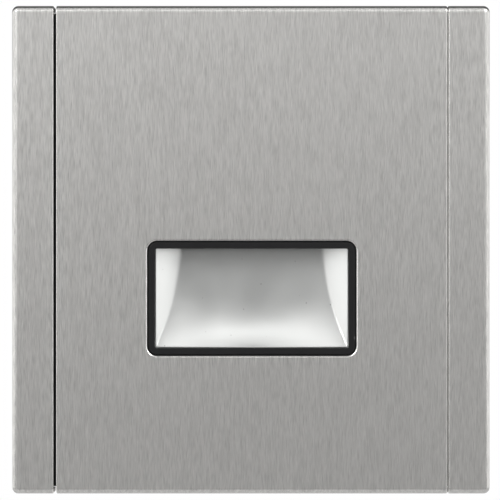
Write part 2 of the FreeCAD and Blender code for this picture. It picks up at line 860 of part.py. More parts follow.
def stud_nuts():
    nuts = []
    for sx in (-1, 1):
        for sz in (-1, 1):
            x, z = plate_x + sx * stud_x, sz * stud_z
            corner = nut_flat_radius / math.cos(math.pi / 6)
            points = [vec(x + corner * math.cos(math.radians(60 * n)), flange_back,
                          z + corner * math.sin(math.radians(60 * n))) for n in range(7)]
            nut = Part.Face(Part.makePolygon(points)).extrude(vec(0, nut_thickness, 0))
            nuts.append(nut.cut(rod("y", (x, z), stud_radius + thread_gap, flange_back - 1,
                                    flange_back + nut_thickness + 1)))
    return group(nuts)


def module_seal():
    inner_x = opening_half_width + module_seal_inset
    inner_z = opening_half_height + module_seal_inset
    outer = slab(inner_x + module_seal_width, inner_z + module_seal_width, chassis_corner,
                 flange_back, frame_front, plate_x)
    return outer.cut(slab(inner_x, inner_z, chassis_corner, flange_back - 1, frame_front + 1, plate_x))


def rear_cover_seal():
    outer = slab(chassis_half_width, chassis_half_height, chassis_corner, chassis_end, cover_front, plate_x)
    inner = slab(chassis_half_width - chassis_wall, chassis_half_height - chassis_wall,
                 chassis_inner_corner, chassis_end - 1, cover_front + 1, plate_x)
    return outer.cut(inner)


def rear_cover():
    plate = slab(chassis_half_width, chassis_half_height, chassis_corner, cover_front, cover_rear, plate_x)
    plate = rounded(plate, rear_cover_round, lambda e: on_plane_y(e, cover_rear))
    lip_x = chassis_half_width - chassis_wall - cover_lip_gap
    lip_z = chassis_half_height - chassis_wall - cover_lip_gap
    lip_front = chassis_end - cover_lip_height
    lip = slab(lip_x, lip_z, chassis_inner_corner, lip_front, cover_front, plate_x)
    lip = lip.cut(slab(lip_x - cover_lip_thickness, lip_z - cover_lip_thickness, chassis_inner_corner,
                       lip_front - 1, cover_front + 1, plate_x))
    pieces = [plate, lip]
    rib_half = chassis_half_width - rib_margin
    for n in range(rib_count):
        z = -(n - (rib_count - 1) / 2) * rib_pitch - rib_drop
        pieces.append(slab(rib_half, rib_thickness / 2, 0, cover_front, cover_rear + rib_height, plate_x, z))
    body = join(pieces)
    hole_x = terminal_half_width + terminal_gap
    body = body.cut(block(plate_x - hole_x, plate_x + hole_x, lip_front - 1, cover_rear + rib_height + 1,
                          terminal_base - terminal_gap, terminal_top + terminal_gap))
    for sx in (-1, 1):
        for sz in (-1, 1):
            at = (plate_x + sx * boss_x, sz * boss_z)
            body = body.cut(rod("y", at, boss_radius + seat_gap, lip_front - 1, cover_front))
            body = body.cut(rod("y", at, cover_screw_radius + screw_clear, lip_front - 1, cover_rear + 1))
    return body.removeSplitter()


def rear_cover_screws():
    screws = []
    for sx in (-1, 1):
        for sz in (-1, 1):
            at = (plate_x + sx * boss_x, sz * boss_z)
            shank = rod("y", at, cover_screw_radius, cover_rear - cover_screw_length, cover_rear)
            head = pan_head("y", at, cover_screw_head_radius, cover_screw_head_height, cover_rear, 1)
            screws.append(shank.fuse(head).removeSplitter())
    return group(screws)


# ---- lever terminals ----

def pole_x(n):
    return plate_x + (n - (pole_count - 1) / 2) * pole_pitch


def terminal_block():
    body = block(plate_x - terminal_half_width, plate_x + terminal_half_width, driver_rear,
                 terminal_rear, terminal_base, terminal_top)
    body = rounded(body, terminal_round, lambda e: on_plane_y(e, terminal_rear) and not along(e, "z"))
    slot_half = (pole_pitch - lever_partition) / 2
    port_y = terminal_rear - lever_recess - port_wall - wire_port / 2
    for n in range(pole_count):
        x = pole_x(n)
        body = body.cut(block(x - slot_half, x + slot_half, terminal_rear - lever_recess, terminal_rear + 1,
                              terminal_base - 1, terminal_top - terminal_end_wall))
        body = body.cut(block(x - wire_port / 2, x + wire_port / 2, port_y - wire_port / 2,
                              port_y + wire_port / 2, terminal_base - 1, terminal_base + wire_port_depth))
    return body.cut(rod("x", (lever_pin_y, lever_pin_z), lever_pin_radius + lever_pin_gap,
                        plate_x - pole_count * pole_pitch / 2, plate_x + pole_count * pole_pitch / 2))


def terminal_lever(n):
    """A thumb lever that lies in its slot; it swings out about its pin to open the clamp."""
    x = pole_x(n)
    half = (pole_pitch - lever_partition) / 2 - lever_side_gap
    front = terminal_rear - lever_thickness
    tip = lever_pin_z - lever_length
    arm = block(x - half, x + half, front, terminal_rear, tip, lever_pin_z)
    arm = rounded(arm, lever_round, lambda e: along(e, "x") and not on_plane_z(e, lever_pin_z))
    eye = rod("x", (lever_pin_y, lever_pin_z), lever_eye_radius, x - half, x + half)
    grip = rod("x", (terminal_rear, tip + lever_grip_inset), lever_grip_radius, x - half, x + half)
    reach = half + lever_side_gap + lever_pin_bite
    pin = rod("x", (lever_pin_y, lever_pin_z), lever_pin_radius, x - reach, x + reach)
    return join([arm, eye, grip, pin])


# ---- retaining springs ----

def retaining_springs():
    """Bent strips on the chassis sides that bear on the frame's rear edge and hold the module in."""
    springs = []
    wall = chassis_half_width
    bulge = opening_half_width + spring_bulge
    crest = frame_back + spring_crest
    shoulder = crest - spring_ramp
    path = [(wall, spring_foot_end), (wall, spring_foot_start), (bulge - spring_thickness, crest),
            (wall + spring_shoulder, shoulder), (wall, shoulder - spring_tip)]
    for side in (-1, 1):
        for z in (-spring_z, spring_z):
            inner = [vec(plate_x + side * x, y, z - spring_width / 2) for x, y in path]
            outer = [vec(plate_x + side * (x + spring_thickness), y, z - spring_width / 2) for x, y in path]
            outline = Part.makePolygon(inner + outer[::-1] + inner[:1])
            springs.append(Part.Face(outline).extrude(vec(0, 0, spring_width)))
    return group(springs)


# ---- mounting frame and its fixings ----

def frame_screw_places():
    return [(sx * frame_screw_x, sz * frame_screw_z) for sx in (-1, 1) for sz in (-1, 1)]


def mounting_frame():
    plate = slab(frame_half_width, frame_half_height, frame_corner, frame_front, frame_back)
    pieces = [plate]
    for side in (-1, 1):
        pieces.append(slab(rail_half_width, frame_half_height - rail_end, frame_corner,
                           rail_front, frame_back, side * rail_middle))
    body = join(pieces)
    body = body.cut(slab(opening_half_width, opening_half_height, chassis_corner,
                         frame_front - 1, frame_back + 1, plate_x))
    wide, narrow = frame_screw_head_radius + screw_clear, frame_screw_radius + screw_clear
    for at in frame_screw_places():
        body = body.cut(rod("y", at, narrow, rail_front - 1, frame_back + 1))
        body = body.cut(rod("y", at, wide, rail_front - 1, frame_screw_seat))
        body = body.cut(Part.makeCone(wide, narrow, countersink, vec(at[0], frame_screw_seat, at[1]),
                                      vec(0, 1, 0)))
    for side in (-1, 1):
        for z in (-peg_z, peg_z):
            body = body.cut(rod("y", (side * rail_middle, z), peg_radius + peg_gap,
                                rail_front - 1, frame_back + 1))
    return body.removeSplitter()


def frame_screws():
    seat = frame_screw_seat
    arm, width = frame_screw_head_radius * cross_reach, frame_screw_head_radius * cross_width
    depth = countersink * cross_depth
    screws = []
    for at in frame_screw_places():
        head = Part.makeCone(frame_screw_head_radius, frame_screw_radius, countersink,
                             vec(at[0], seat, at[1]), vec(0, 1, 0))
        land = rod("y", at, frame_screw_head_radius, seat - screw_land, seat)
        shank = rod("y", at, frame_screw_radius, seat + countersink, seat + frame_screw_length)
        screw = join([land, head, shank])
        for long_side, short_side in ((arm, width), (width, arm)):
            screw = screw.cut(block(at[0] - long_side, at[0] + long_side, rail_front - 1, seat + depth,
                                    at[1] - short_side, at[1] + short_side))
        screws.append(screw)
    return group(screws)


def wall_seal():
    """Thin lip round the wall box that the frame presses to the wall."""
    outer = slab(frame_half_width - seal_inset, frame_half_height - seal_inset, frame_corner, frame_back, 0.0)
    return outer.cut(slab(box_half_width + seal_inset, box_half_height + seal_inset, box_corner,
                          frame_back - 1, 1.0))


# ---- wall box ----

def wall_box():
    shell = slab(box_half_width, box_half_height, box_corner, frame_back, box_back)
    pieces = [shell]
    for n in range(grip_rib_count):
        y = grip_rib_start + n * grip_rib_pitch
        rib = slab(box_half_width + grip_rib_height, box_half_height + grip_rib_height, box_corner,
                   y - grip_rib_width / 2, y + grip_rib_width / 2)
        pieces.append(rib)
    body = join(pieces)
    hollow = slab(box_inner_half_width, box_inner_half_height, box_inner_corner,
                  frame_back - 1, box_back - box_wall)
    body = body.cut(hollow)
    boss_end = frame_back + box_boss_length
    for at in frame_screw_places():
        side = 1 if at[0] > 0 else -1
        web = block(min(at[0], side * box_half_width), max(at[0], side * box_half_width),
                    frame_back, boss_end, at[1] - box_boss_radius, at[1] + box_boss_radius)
        boss = rod("y", at, box_boss_radius, frame_back, boss_end).fuse(web)
        body = body.fuse(boss.common(shell))
    body = body.removeSplitter()
    for at in frame_screw_places():
        body = body.cut(rod("y", at, frame_screw_radius + thread_gap, frame_back - 1,
                            frame_screw_seat + frame_screw_length + hole_end_gap))
    for x in (-entry_x, entry_x):
        spot = grommet_flange_radius + spot_margin
        bottom = -box_half_height
        body = body.cut(rod("z", (x, entry_y), spot, bottom - 2 * grip_rib_height, bottom))
        body = body.cut(rod("z", (x, entry_y), entry_radius, bottom - 1, bottom + box_wall + 1))
    half = fixing_spacing / 2
    for x in (-half, half):
        for z in (-half, half):
            body = body.cut(rod("y", (x, z), fixing_hole_radius, box_back - box_wall - 1, box_back + 1))
    for axis, at, face in knockout_places():
        body = body.cut(knockout(axis, at, face))
    return body


def knockout_places():
    """Where a conduit can be broken through: twice on the top and once on each side and the back."""
    return [
        ("z", (-entry_x, entry_y), box_half_height),
        ("z", (entry_x, entry_y), box_half_height),
        ("x", (entry_y, 0.0), box_half_width),
        ("x", (entry_y, 0.0), -box_half_width),
        ("y", (0.0, 0.0), box_back),
    ]


def knockout(axis, at, face):
    """A ring groove in the box's outer face, inside a flat spot where the grip ribs stop."""
    outwards = 1 if face > 0 else -1
    above = face + outwards * 2 * grip_rib_height
    below = face - outwards * knockout_cut
    spot = rod(axis, at, knockout_radius + spot_margin, min(face, above), max(face, above))
    ring = rod(axis, at, knockout_radius, min(below, above), max(below, above))
    core = rod(axis, at, knockout_radius - knockout_groove, min(below, above) - 1, max(below, above) + 1)
    return spot.fuse(ring.cut(core))


def cable_grommets():
    """Rubber bushes in the two cable entries, each a grooved ring with a cone that grips the cable."""
    grommets = []
    outside = -box_half_height
    inside = -box_inner_half_height
    for x in (-entry_x, entry_x):
        at = (x, entry_y)
        pieces = [
            rod("z", at, entry_radius - grommet_neck_gap, outside, inside),
            rod("z", at, grommet_flange_radius, outside - grommet_flange_thickness, outside),
            rod("z", at, grommet_flange_radius, inside, inside + grommet_flange_thickness),
            Part.makeCone(grommet_bore_radius + grommet_lip, grommet_cone_radius, grommet_cone_height,
                          vec(x, entry_y, outside - grommet_flange_thickness - grommet_cone_height),
                          vec(0, 0, 1)),
        ]
        body = join(pieces)
        bore = rod("z", at, grommet_bore_radius, 2 * outside, 0)
        grommets.append(body.cut(bore))
    return group(grommets)


makers = {
    "front_plate": front_plate,
    "left_trim": left_trim,
    "right_trim": right_trim,
    "left_trim_carrier": lambda: trim_carrier(-1),
    "right_trim_carrier": lambda: trim_carrier(1),
    "window_bezel": window_bezel,
    "reflector_scoop": reflector_scoop,
    "scoop_seal": scoop_seal,
    "led_lens": led_lens,
    "led_holder": led_holder,
    "led_board": led_board,
    "led_chips": led_chips,
    "heat_bracket": heat_bracket,
    "engine_screws": engine_screws,
    "driver_board": driver_board,
    "driver_screws": driver_screws,
    "choke": choke,
    "choke_winding": choke_winding,
    "capacitor": capacitor,
    "film_capacitor": film_capacitor,
    "driver_chips": driver_chips,
    "lead_plugs": lead_plugs,
    "led_lead": led_lead,
    "module_chassis": module_chassis,
    "plate_studs": plate_studs,
    "stud_nuts": stud_nuts,
    "module_seal": module_seal,
    "rear_cover": rear_cover,
    "rear_cover_seal": rear_cover_seal,
    "rear_cover_screws": rear_cover_screws,
    "terminal_block": terminal_block,
    "retaining_springs": retaining_springs,
    "mounting_frame": mounting_frame,
    "frame_screws": frame_screws,
    "wall_seal": wall_seal,
    "wall_box": wall_box,
    "cable_grommets": cable_grommets,
}
for pole in range(pole_count):
    makers[f"terminal_lever_{pole + 1}"] = lambda n=pole: terminal_lever(n)

os.makedirs("parts", exist_ok=True)
for name, make in makers.items():
    shape = make()
    shape.exportStep(f"parts/{name}.step")
    print(name, len(shape.Solids), round(shape.Volume, 1), shape.isValid())
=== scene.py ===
import json
import math
import bmesh
import bpy
from mathutils import Matrix, Vector


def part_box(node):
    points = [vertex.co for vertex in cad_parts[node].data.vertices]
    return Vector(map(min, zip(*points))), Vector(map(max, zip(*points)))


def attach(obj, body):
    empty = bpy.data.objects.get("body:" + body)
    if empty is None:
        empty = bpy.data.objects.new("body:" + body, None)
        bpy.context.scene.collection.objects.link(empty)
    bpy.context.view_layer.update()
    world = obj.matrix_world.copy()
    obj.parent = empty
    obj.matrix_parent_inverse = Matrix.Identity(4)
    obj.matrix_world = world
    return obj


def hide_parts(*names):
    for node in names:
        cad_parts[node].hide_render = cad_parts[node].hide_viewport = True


# sizes and places in the dictionaries are in millimetres, those of the lamps and cards in metres

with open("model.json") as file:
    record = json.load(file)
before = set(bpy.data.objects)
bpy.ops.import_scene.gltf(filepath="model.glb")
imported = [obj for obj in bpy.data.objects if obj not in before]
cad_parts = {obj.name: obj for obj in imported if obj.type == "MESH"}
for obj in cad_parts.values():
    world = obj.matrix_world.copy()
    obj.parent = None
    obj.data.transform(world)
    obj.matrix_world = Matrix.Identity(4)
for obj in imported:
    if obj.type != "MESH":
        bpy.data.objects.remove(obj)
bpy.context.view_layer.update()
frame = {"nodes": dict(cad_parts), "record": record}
nodes = frame["nodes"]
mm = 0.001
print("frame loaded:", len(nodes), "nodes")


# small helpers for node trees

def addNode(tree, kind, **settings):
    node = tree.nodes.new(kind)
    for key, value in settings.items():
        setattr(node, key, value)
    return node


def join(tree, value, socket):  # a socket is linked, anything else becomes the socket's own value
    if isinstance(value, bpy.types.NodeSocket):
        tree.links.new(value, socket)
    elif value is not None:
        socket.default_value = value


def calc(tree, operation, *values, clamp=False):
    node = addNode(tree, "ShaderNodeMath", operation=operation, use_clamp=clamp)
    for socket, value in zip(node.inputs, values):
        join(tree, value, socket)
    return node.outputs[0]


def times(tree, first, second, clamp=False):
    return calc(tree, "MULTIPLY", first, second, clamp=clamp)


def plus(tree, first, second):
    return calc(tree, "ADD", first, second)


def minus(tree, first, second):
    return calc(tree, "SUBTRACT", first, second)


def over(tree, first, second, clamp=False):
    return calc(tree, "DIVIDE", first, second, clamp=clamp)


def perMm(tree, value):  # scale of a pattern whose size is given in millimetres
    return over(tree, 1 / mm, value)


def sockets(tree, inputs, outputs):
    for name, (kind, value) in inputs.items():
        socket = tree.interface.new_socket(name, in_out="INPUT", socket_type="NodeSocket" + kind)
        if value is not None:
            socket.default_value = value
    for name, kind in outputs.items():
        tree.interface.new_socket(name, in_out="OUTPUT", socket_type="NodeSocket" + kind)
    return addNode(tree, "NodeGroupInput").outputs, addNode(tree, "NodeGroupOutput").inputs


def objectPlace(tree):
    return addNode(tree, "ShaderNodeTexCoord").outputs["Object"]


def split(tree, vector):  # x, y and z of a vector
    parts = addNode(tree, "ShaderNodeSeparateXYZ")
    join(tree, vector, parts.inputs[0])
    return tuple(parts.outputs)


def merged(tree, *values):
    whole = addNode(tree, "ShaderNodeCombineXYZ")
    for value, socket in zip(values, whole.inputs):
        join(tree, value, socket)
    return whole.outputs[0]


def mapped(tree, vector, scale, location=(0, 0, 0)):
    node = addNode(tree, "ShaderNodeMapping")
    join(tree, vector, node.inputs["Vector"])
    join(tree, scale, node.inputs["Scale"])
    join(tree, location, node.inputs["Location"])
    return node.outputs[0]


def noise(tree, vector, scale, detail=2.0, roughness=0.5):
    node = addNode(tree, "ShaderNodeTexNoise")
    join(tree, vector, node.inputs["Vector"])
    join(tree, scale, node.inputs["Scale"])
    join(tree, detail, node.inputs["Detail"])
    join(tree, roughness, node.inputs["Roughness"])
    return node.outputs["Fac"]


def spread(tree, value, low, high, newLow, newHigh):
    node = addNode(tree, "ShaderNodeMapRange")
    for socket, item in zip(node.inputs, (value, low, high, newLow, newHigh)):
        join(tree, item, socket)
    return node.outputs[0]


def blendColours(tree, factor, first, second):  # the node's colours are its sockets 6 and 7
    node = addNode(tree, "ShaderNodeMix", data_type="RGBA")
    join(tree, factor, node.inputs[0])
    join(tree, first, node.inputs[6])
    join(tree, second, node.inputs[7])
    return node.outputs[2]


# effects that several finishes share

scratches = dict(layers=((0.45, 0.0), (1.0, 3.1), (2.7, 7.7)), fine=0.4, middle=0.6, low=0.3, high=0.7)


def brushGrainGroup():  # long scratches along Z: fine, middle and coarse ones laid over each other
    tree = bpy.data.node_groups.new("brushGrain", "ShaderNodeTree")
    given, out = sockets(tree, {
        "Vector": ("Vector", None), "Width": ("Float", 0.3), "Length": ("Float", 8.0),
        "Coarse": ("Float", 0.4),
    }, {"Streak": "Float", "Height": "Float"})
    layers = []
    for widen, shift in scratches["layers"]:
        across = perMm(tree, times(tree, given["Width"], widen))
        along = perMm(tree, times(tree, given["Length"], 0.5 + widen / 2))
        stretched = mapped(tree, given["Vector"], merged(tree, across, across, along), (shift, 0, shift))
        layers.append(noise(tree, stretched, 1.0, detail=1.0))
    fine = plus(tree, times(tree, layers[0], scratches["fine"]), times(tree, layers[1], scratches["middle"]))
    coarse = times(tree, minus(tree, layers[2], 0.5), given["Coarse"])
    streak = plus(tree, fine, coarse)
    join(tree, spread(tree, streak, scratches["low"], scratches["high"], 0.0, 1.0), out["Streak"])
    join(tree, layers[0], out["Height"])
    return tree


edges = dict(samples=4, flat=0.995, turned=0.85, patchScale=900.0, patchDetail=3.0, patchLow=0.4,
             patchHigh=0.6)


def edgeWearAndHighlightGroup():  # 1 along convex and concave edges, broken up by noise; used for edge wear, and in brushed metal partly for a painted highlight
    tree = bpy.data.node_groups.new("edgeWearAndHighlight", "ShaderNodeTree")
    given, out = sockets(tree, {
        "Vector": ("Vector", None), "Radius": ("Float", 0.3), "Broken": ("Float", 0.5),
    }, {"Mask": "Float"})
    bevel = addNode(tree, "ShaderNodeBevel", samples=edges["samples"])
    join(tree, times(tree, given["Radius"], mm), bevel.inputs["Radius"])
    shape = addNode(tree, "ShaderNodeNewGeometry")
    dot = addNode(tree, "ShaderNodeVectorMath", operation="DOT_PRODUCT")
    join(tree, bevel.outputs[0], dot.inputs[0])
    join(tree, shape.outputs["Normal"], dot.inputs[1])
    edge = spread(tree, dot.outputs["Value"], edges["flat"], edges["turned"], 0.0, 1.0)
    patches = noise(tree, given["Vector"], edges["patchScale"], edges["patchDetail"])
    patches = spread(tree, patches, edges["patchLow"], edges["patchHigh"], 0.0, 1.0)
    kept = minus(tree, 1.0, times(tree, given["Broken"], patches))
    join(tree, times(tree, edge, kept, clamp=True), out["Mask"])
    return tree


rounded = dict(flat=0.995, soft=0.93, sideLow=0.1, sideHigh=0.4)


def roundedGroup():  # 1 where the surface turns between the flat faces, as on folds and broken edges
    tree = bpy.data.node_groups.new("roundedFaces", "ShaderNodeTree")
    given, out = sockets(tree, {"Normal": ("Vector", None), "Soft": ("Float", rounded["soft"])},
                         {"Mask": "Float", "Sideways": "Float"})
    sizes = [calc(tree, "ABSOLUTE", part) for part in split(tree, given["Normal"])]
    most = calc(tree, "MAXIMUM", calc(tree, "MAXIMUM", sizes[0], sizes[1]), sizes[2])
    mask = spread(tree, most, rounded["flat"], given["Soft"], 0.0, 1.0)
    join(tree, mask, out["Mask"])
    # Sideways: rounded faces facing along X, where brushed metal gets its painted highlight
    sideways = spread(tree, sizes[0], rounded["sideLow"], rounded["sideHigh"], 0.0, 1.0)
    join(tree, times(tree, mask, sideways), out["Sideways"])
    return tree


dustCore = 0.6     # share of a speck's radius that is fully dark


def dustGroup():  # sparse small specks
    tree = bpy.data.node_groups.new("dustSpecks", "ShaderNodeTree")
    given, out = sockets(tree, {
        "Vector": ("Vector", None), "Spacing": ("Float", 1.5), "Share": ("Float", 0.3),
        "Size": ("Float", 0.1),
    }, {"Mask": "Float"})
    cells = addNode(tree, "ShaderNodeTexVoronoi", feature="F1")
    join(tree, given["Vector"], cells.inputs["Vector"])
    join(tree, perMm(tree, given["Spacing"]), cells.inputs["Scale"])
    pick = addNode(tree, "ShaderNodeTexWhiteNoise", noise_dimensions="3D")
    join(tree, cells.outputs["Position"], pick.inputs["Vector"])
    chosen = calc(tree, "LESS_THAN", pick.outputs["Value"], given["Share"])
    core = times(tree, given["Size"], dustCore)
    near = spread(tree, cells.outputs["Distance"], core, given["Size"], 1.0, 0.0)
    join(tree, times(tree, chosen, near, clamp=True), out["Mask"])
    return tree


def mouldGroup():  # fine spark-eroded texture and slow flow marks of moulded plastic or paint
    tree = bpy.data.node_groups.new("mouldTexture", "ShaderNodeTree")
    given, out = sockets(tree, {
        "Vector": ("Vector", None), "Grain": ("Float", 0.25), "Flow": ("Float", 12.0),
    }, {"Height": "Float", "Flow": "Float"})
    fine = noise(tree, given["Vector"], perMm(tree, given["Grain"]), roughness=0.6)
    join(tree, fine, out["Height"])
    join(tree, noise(tree, given["Vector"], perMm(tree, given["Flow"]), detail=3.0), out["Flow"])
    return tree


copper = dict(block=7.0, jogEvery=3.5, jogSteps=4.0, padEvery=3.4, trackCore=0.8, padCore=0.85)


def tracksGroup():  # straight copper tracks with jogs along X, and round pads
    tree = bpy.data.node_groups.new("boardTracks", "ShaderNodeTree")
    given, out = sockets(tree, {
        "Vector": ("Vector", None), "Pitch": ("Float", 1.3), "Width": ("Float", 0.3), "Pad": ("Float", 0.35),
    }, {"Track": "Float", "Pad": "Float"})
    x, z = split(tree, given["Vector"])[::2]
    block = calc(tree, "FLOOR", over(tree, z, copper["block"] * mm))
    along = calc(tree, "FLOOR", over(tree, x, copper["jogEvery"] * mm))
    jog = addNode(tree, "ShaderNodeTexWhiteNoise", noise_dimensions="3D")
    join(tree, merged(tree, along, block), jog.inputs["Vector"])
    steps = copper["jogSteps"]
    shift = over(tree, calc(tree, "FLOOR", times(tree, jog.outputs["Value"], steps)), steps)
    row = plus(tree, over(tree, z, times(tree, given["Pitch"], mm)), shift)
    off = calc(tree, "ABSOLUTE", minus(tree, calc(tree, "FRACT", row), 0.5))
    half = over(tree, given["Width"], times(tree, given["Pitch"], 2.0))
    join(tree, spread(tree, off, times(tree, half, copper["trackCore"]), half, 1.0, 0.0), out["Track"])
    dots = addNode(tree, "ShaderNodeTexVoronoi", feature="F1", voronoi_dimensions="2D")
    join(tree, merged(tree, x, z), dots.inputs["Vector"])
    dots.inputs["Scale"].default_value = 1 / (copper["padEvery"] * mm)
    reach = times(tree, dots.outputs["Distance"], copper["padEvery"])
    core = times(tree, given["Pad"], copper["padCore"])
    join(tree, spread(tree, reach, core, given["Pad"], 1.0, 0.0), out["Pad"])
    return tree


poreFull, poreEnd = 0.15, 0.4     # a pore is darkest within the first distance and ends at the second


def foamGroup():  # small open cells of cut foam
    tree = bpy.data.node_groups.new("foamCells", "ShaderNodeTree")
    given, out = sockets(tree, {"Vector": ("Vector", None), "Cell": ("Float", 0.45)},
                         {"Height": "Float", "Pore": "Float"})
    cells = addNode(tree, "ShaderNodeTexVoronoi", feature="F1")
    join(tree, given["Vector"], cells.inputs["Vector"])
    join(tree, perMm(tree, given["Cell"]), cells.inputs["Scale"])
    join(tree, cells.outputs["Distance"], out["Height"])
    join(tree, spread(tree, cells.outputs["Distance"], poreFull, poreEnd, 1.0, 0.0), out["Pore"])
    return tree


effects = (brushGrainGroup, edgeWearAndHighlightGroup, roundedGroup, dustGroup, mouldGroup, tracksGroup, foamGroup)
groups = {tree.name: tree for tree in (build() for build in effects)}
print("shared effects built")


def startMaterial(name):
    material = bpy.data.materials.new(name)
    material.use_nodes = True
    tree = material.node_tree
    shader = tree.nodes["Principled BSDF"]
    return material, tree, shader, objectPlace(tree)


def useGroup(tree, name, **values):
    node = addNode(tree, "ShaderNodeGroup")
    node.node_tree = groups[name]
    for key, value in values.items():
        join(tree, value, node.inputs[key])
    return node.outputs


def bump(tree, shader, height, strength, depth):
    node = addNode(tree, "ShaderNodeBump")
    node.inputs["Strength"].default_value = strength
    node.inputs["Distance"].default_value = depth * mm
    join(tree, height, node.inputs["Height"])
    join(tree, node.outputs["Normal"], shader.inputs["Normal"])


def tints(colour, factors):
    return [(*(part * factor for part in colour), 1) for factor in factors]


# wearShare: share of the edge mask in the brighter edge colour, which on metal is partly wear and partly
# painted highlight
metalRest = dict(broken=0.4, wearShare=0.7, roughSpread=0.05, noLimit=1000)


def brushedMetal(name, look):
    material, tree, shader, place = startMaterial(name)
    aligned = addNode(tree, "ShaderNodeMapping")
    join(tree, place, aligned.inputs["Vector"])
    aligned.inputs["Rotation"].default_value = look.get("turn", (0, 0, 0))
    grain = useGroup(tree, "brushGrain", Vector=aligned.outputs[0], Width=look["width"],
                     Length=look["length"], Coarse=look["coarse"])
    edgeMask = useGroup(tree, "edgeWearAndHighlight", Vector=place, Radius=look["edge"], Broken=metalRest["broken"])
    normal = addNode(tree, "ShaderNodeTexCoord").outputs["Normal"]
    turned = useGroup(tree, "roundedFaces", Normal=normal)
    dark, light = tints(look["colour"], (1 - look["contrast"], 1 + look["contrast"]))
    plain = blendColours(tree, grain["Streak"], dark, light)
    # painted highlight: a brighter base colour on the sideways rounded faces beside the gaps, and on the edge
    # mask, where it is partly real edge wear and partly painted highlight
    bright = tuple(min(1.0, part * look["edgeGain"]) for part in look["colour"]) + (1,)
    fromMiddle = calc(tree, "ABSOLUTE", split(tree, place)[0])
    inner = calc(tree, "LESS_THAN", fromMiddle, look.get("sheared", metalRest["noLimit"]) * mm)
    gapHighlight = times(tree, turned["Sideways"], inner)  # painted highlight on the sheared edges beside the gaps, not the outer folds
    wornAndHighlit = calc(tree, "MAXIMUM", times(tree, edgeMask["Mask"], metalRest["wearShare"]), gapHighlight)
    join(tree, blendColours(tree, wornAndHighlit, plain, bright), shader.inputs["Base Color"])
    apart = metalRest["roughSpread"]
    rough = spread(tree, grain["Streak"], 0.0, 1.0, look["rough"] + apart, look["rough"] - apart)
    join(tree, spread(tree, turned["Mask"], 0.0, 1.0, rough, look["rough"] * look["turnedRough"]),
         shader.inputs["Roughness"])
    shader.inputs["Metallic"].default_value = 1.0
    bump(tree, shader, grain["Height"], look["bump"], look["depth"])
    return material


flowLow, flowHigh = 0.3, 0.7     # the roughness goes from one value to the other between these flow marks
plasticRest = dict(broken=0.6, wearShare=0.5, tints=(0.93, 1.07), roughSpread=0.05, dustShare=0.25,
                   dustSize=0.12, dustTint=0.6, dustLift=0.2, dustCover=0.35, gloss=0.5)


def roughFlow(tree, shader, flow, middle, apart):
    rough = spread(tree, flow, flowLow, flowHigh, middle - apart, middle + apart)
    join(tree, rough, shader.inputs["Roughness"])


def mouldedPlastic(name, look):
    material, tree, shader, place = startMaterial(name)
    rest = plasticRest
    mould = useGroup(tree, "mouldTexture", Vector=place, Grain=look["grain"], Flow=look["flow"])
    edgeMask = useGroup(tree, "edgeWearAndHighlight", Vector=place, Radius=look["edge"], Broken=rest["broken"])
    dust = useGroup(tree, "dustSpecks", Vector=place, Spacing=look["dustSpacing"], Share=rest["dustShare"],
                    Size=rest["dustSize"])
    low, high = tints(look["colour"], rest["tints"])
    plain = blendColours(tree, mould["Flow"], low, high)
    worn = tuple(part + (1 - part) * look["edgePale"] for part in look["colour"]) + (1,)
    edged = blendColours(tree, times(tree, edgeMask["Mask"], rest["wearShare"]), plain, worn)
    pale = tuple(part * rest["dustTint"] + rest["dustLift"] for part in look["colour"]) + (1,)
    dusty = blendColours(tree, times(tree, dust["Mask"], rest["dustCover"]), edged, pale)
    join(tree, dusty, shader.inputs["Base Color"])
    roughFlow(tree, shader, mould["Flow"], look["rough"], rest["roughSpread"])
    shader.inputs["Specular IOR Level"].default_value = look.get("gloss", rest["gloss"])
    shader.inputs["Metallic"].default_value = look.get("metal", 0.0)
    bump(tree, shader, mould["Height"], look["bump"], look["depth"])
    return material


def satinReflector(name, look):
    material, tree, shader, place = startMaterial(name)
    mould = useGroup(tree, "mouldTexture", Vector=place, Grain=look["grain"], Flow=look["flow"])
    dust = useGroup(tree, "dustSpecks", Vector=place, Spacing=look["dustSpacing"], Share=look["dustShare"],
                    Size=look["dustSize"])
    low, high = tints(look["colour"], look["tints"])
    plain = blendColours(tree, mould["Flow"], low, high)
    dusty = blendColours(tree, times(tree, dust["Mask"], look["dustCover"]), plain, (*look["dustColour"], 1))
    join(tree, dusty, shader.inputs["Base Color"])
    roughFlow(tree, shader, mould["Flow"], look["rough"], look["roughSpread"])
    join(tree, spread(tree, dust["Mask"], 0.0, 1.0, look["metal"], 0.0), shader.inputs["Metallic"])
    bump(tree, shader, mould["Height"], look["bump"], look["depth"])
    return material


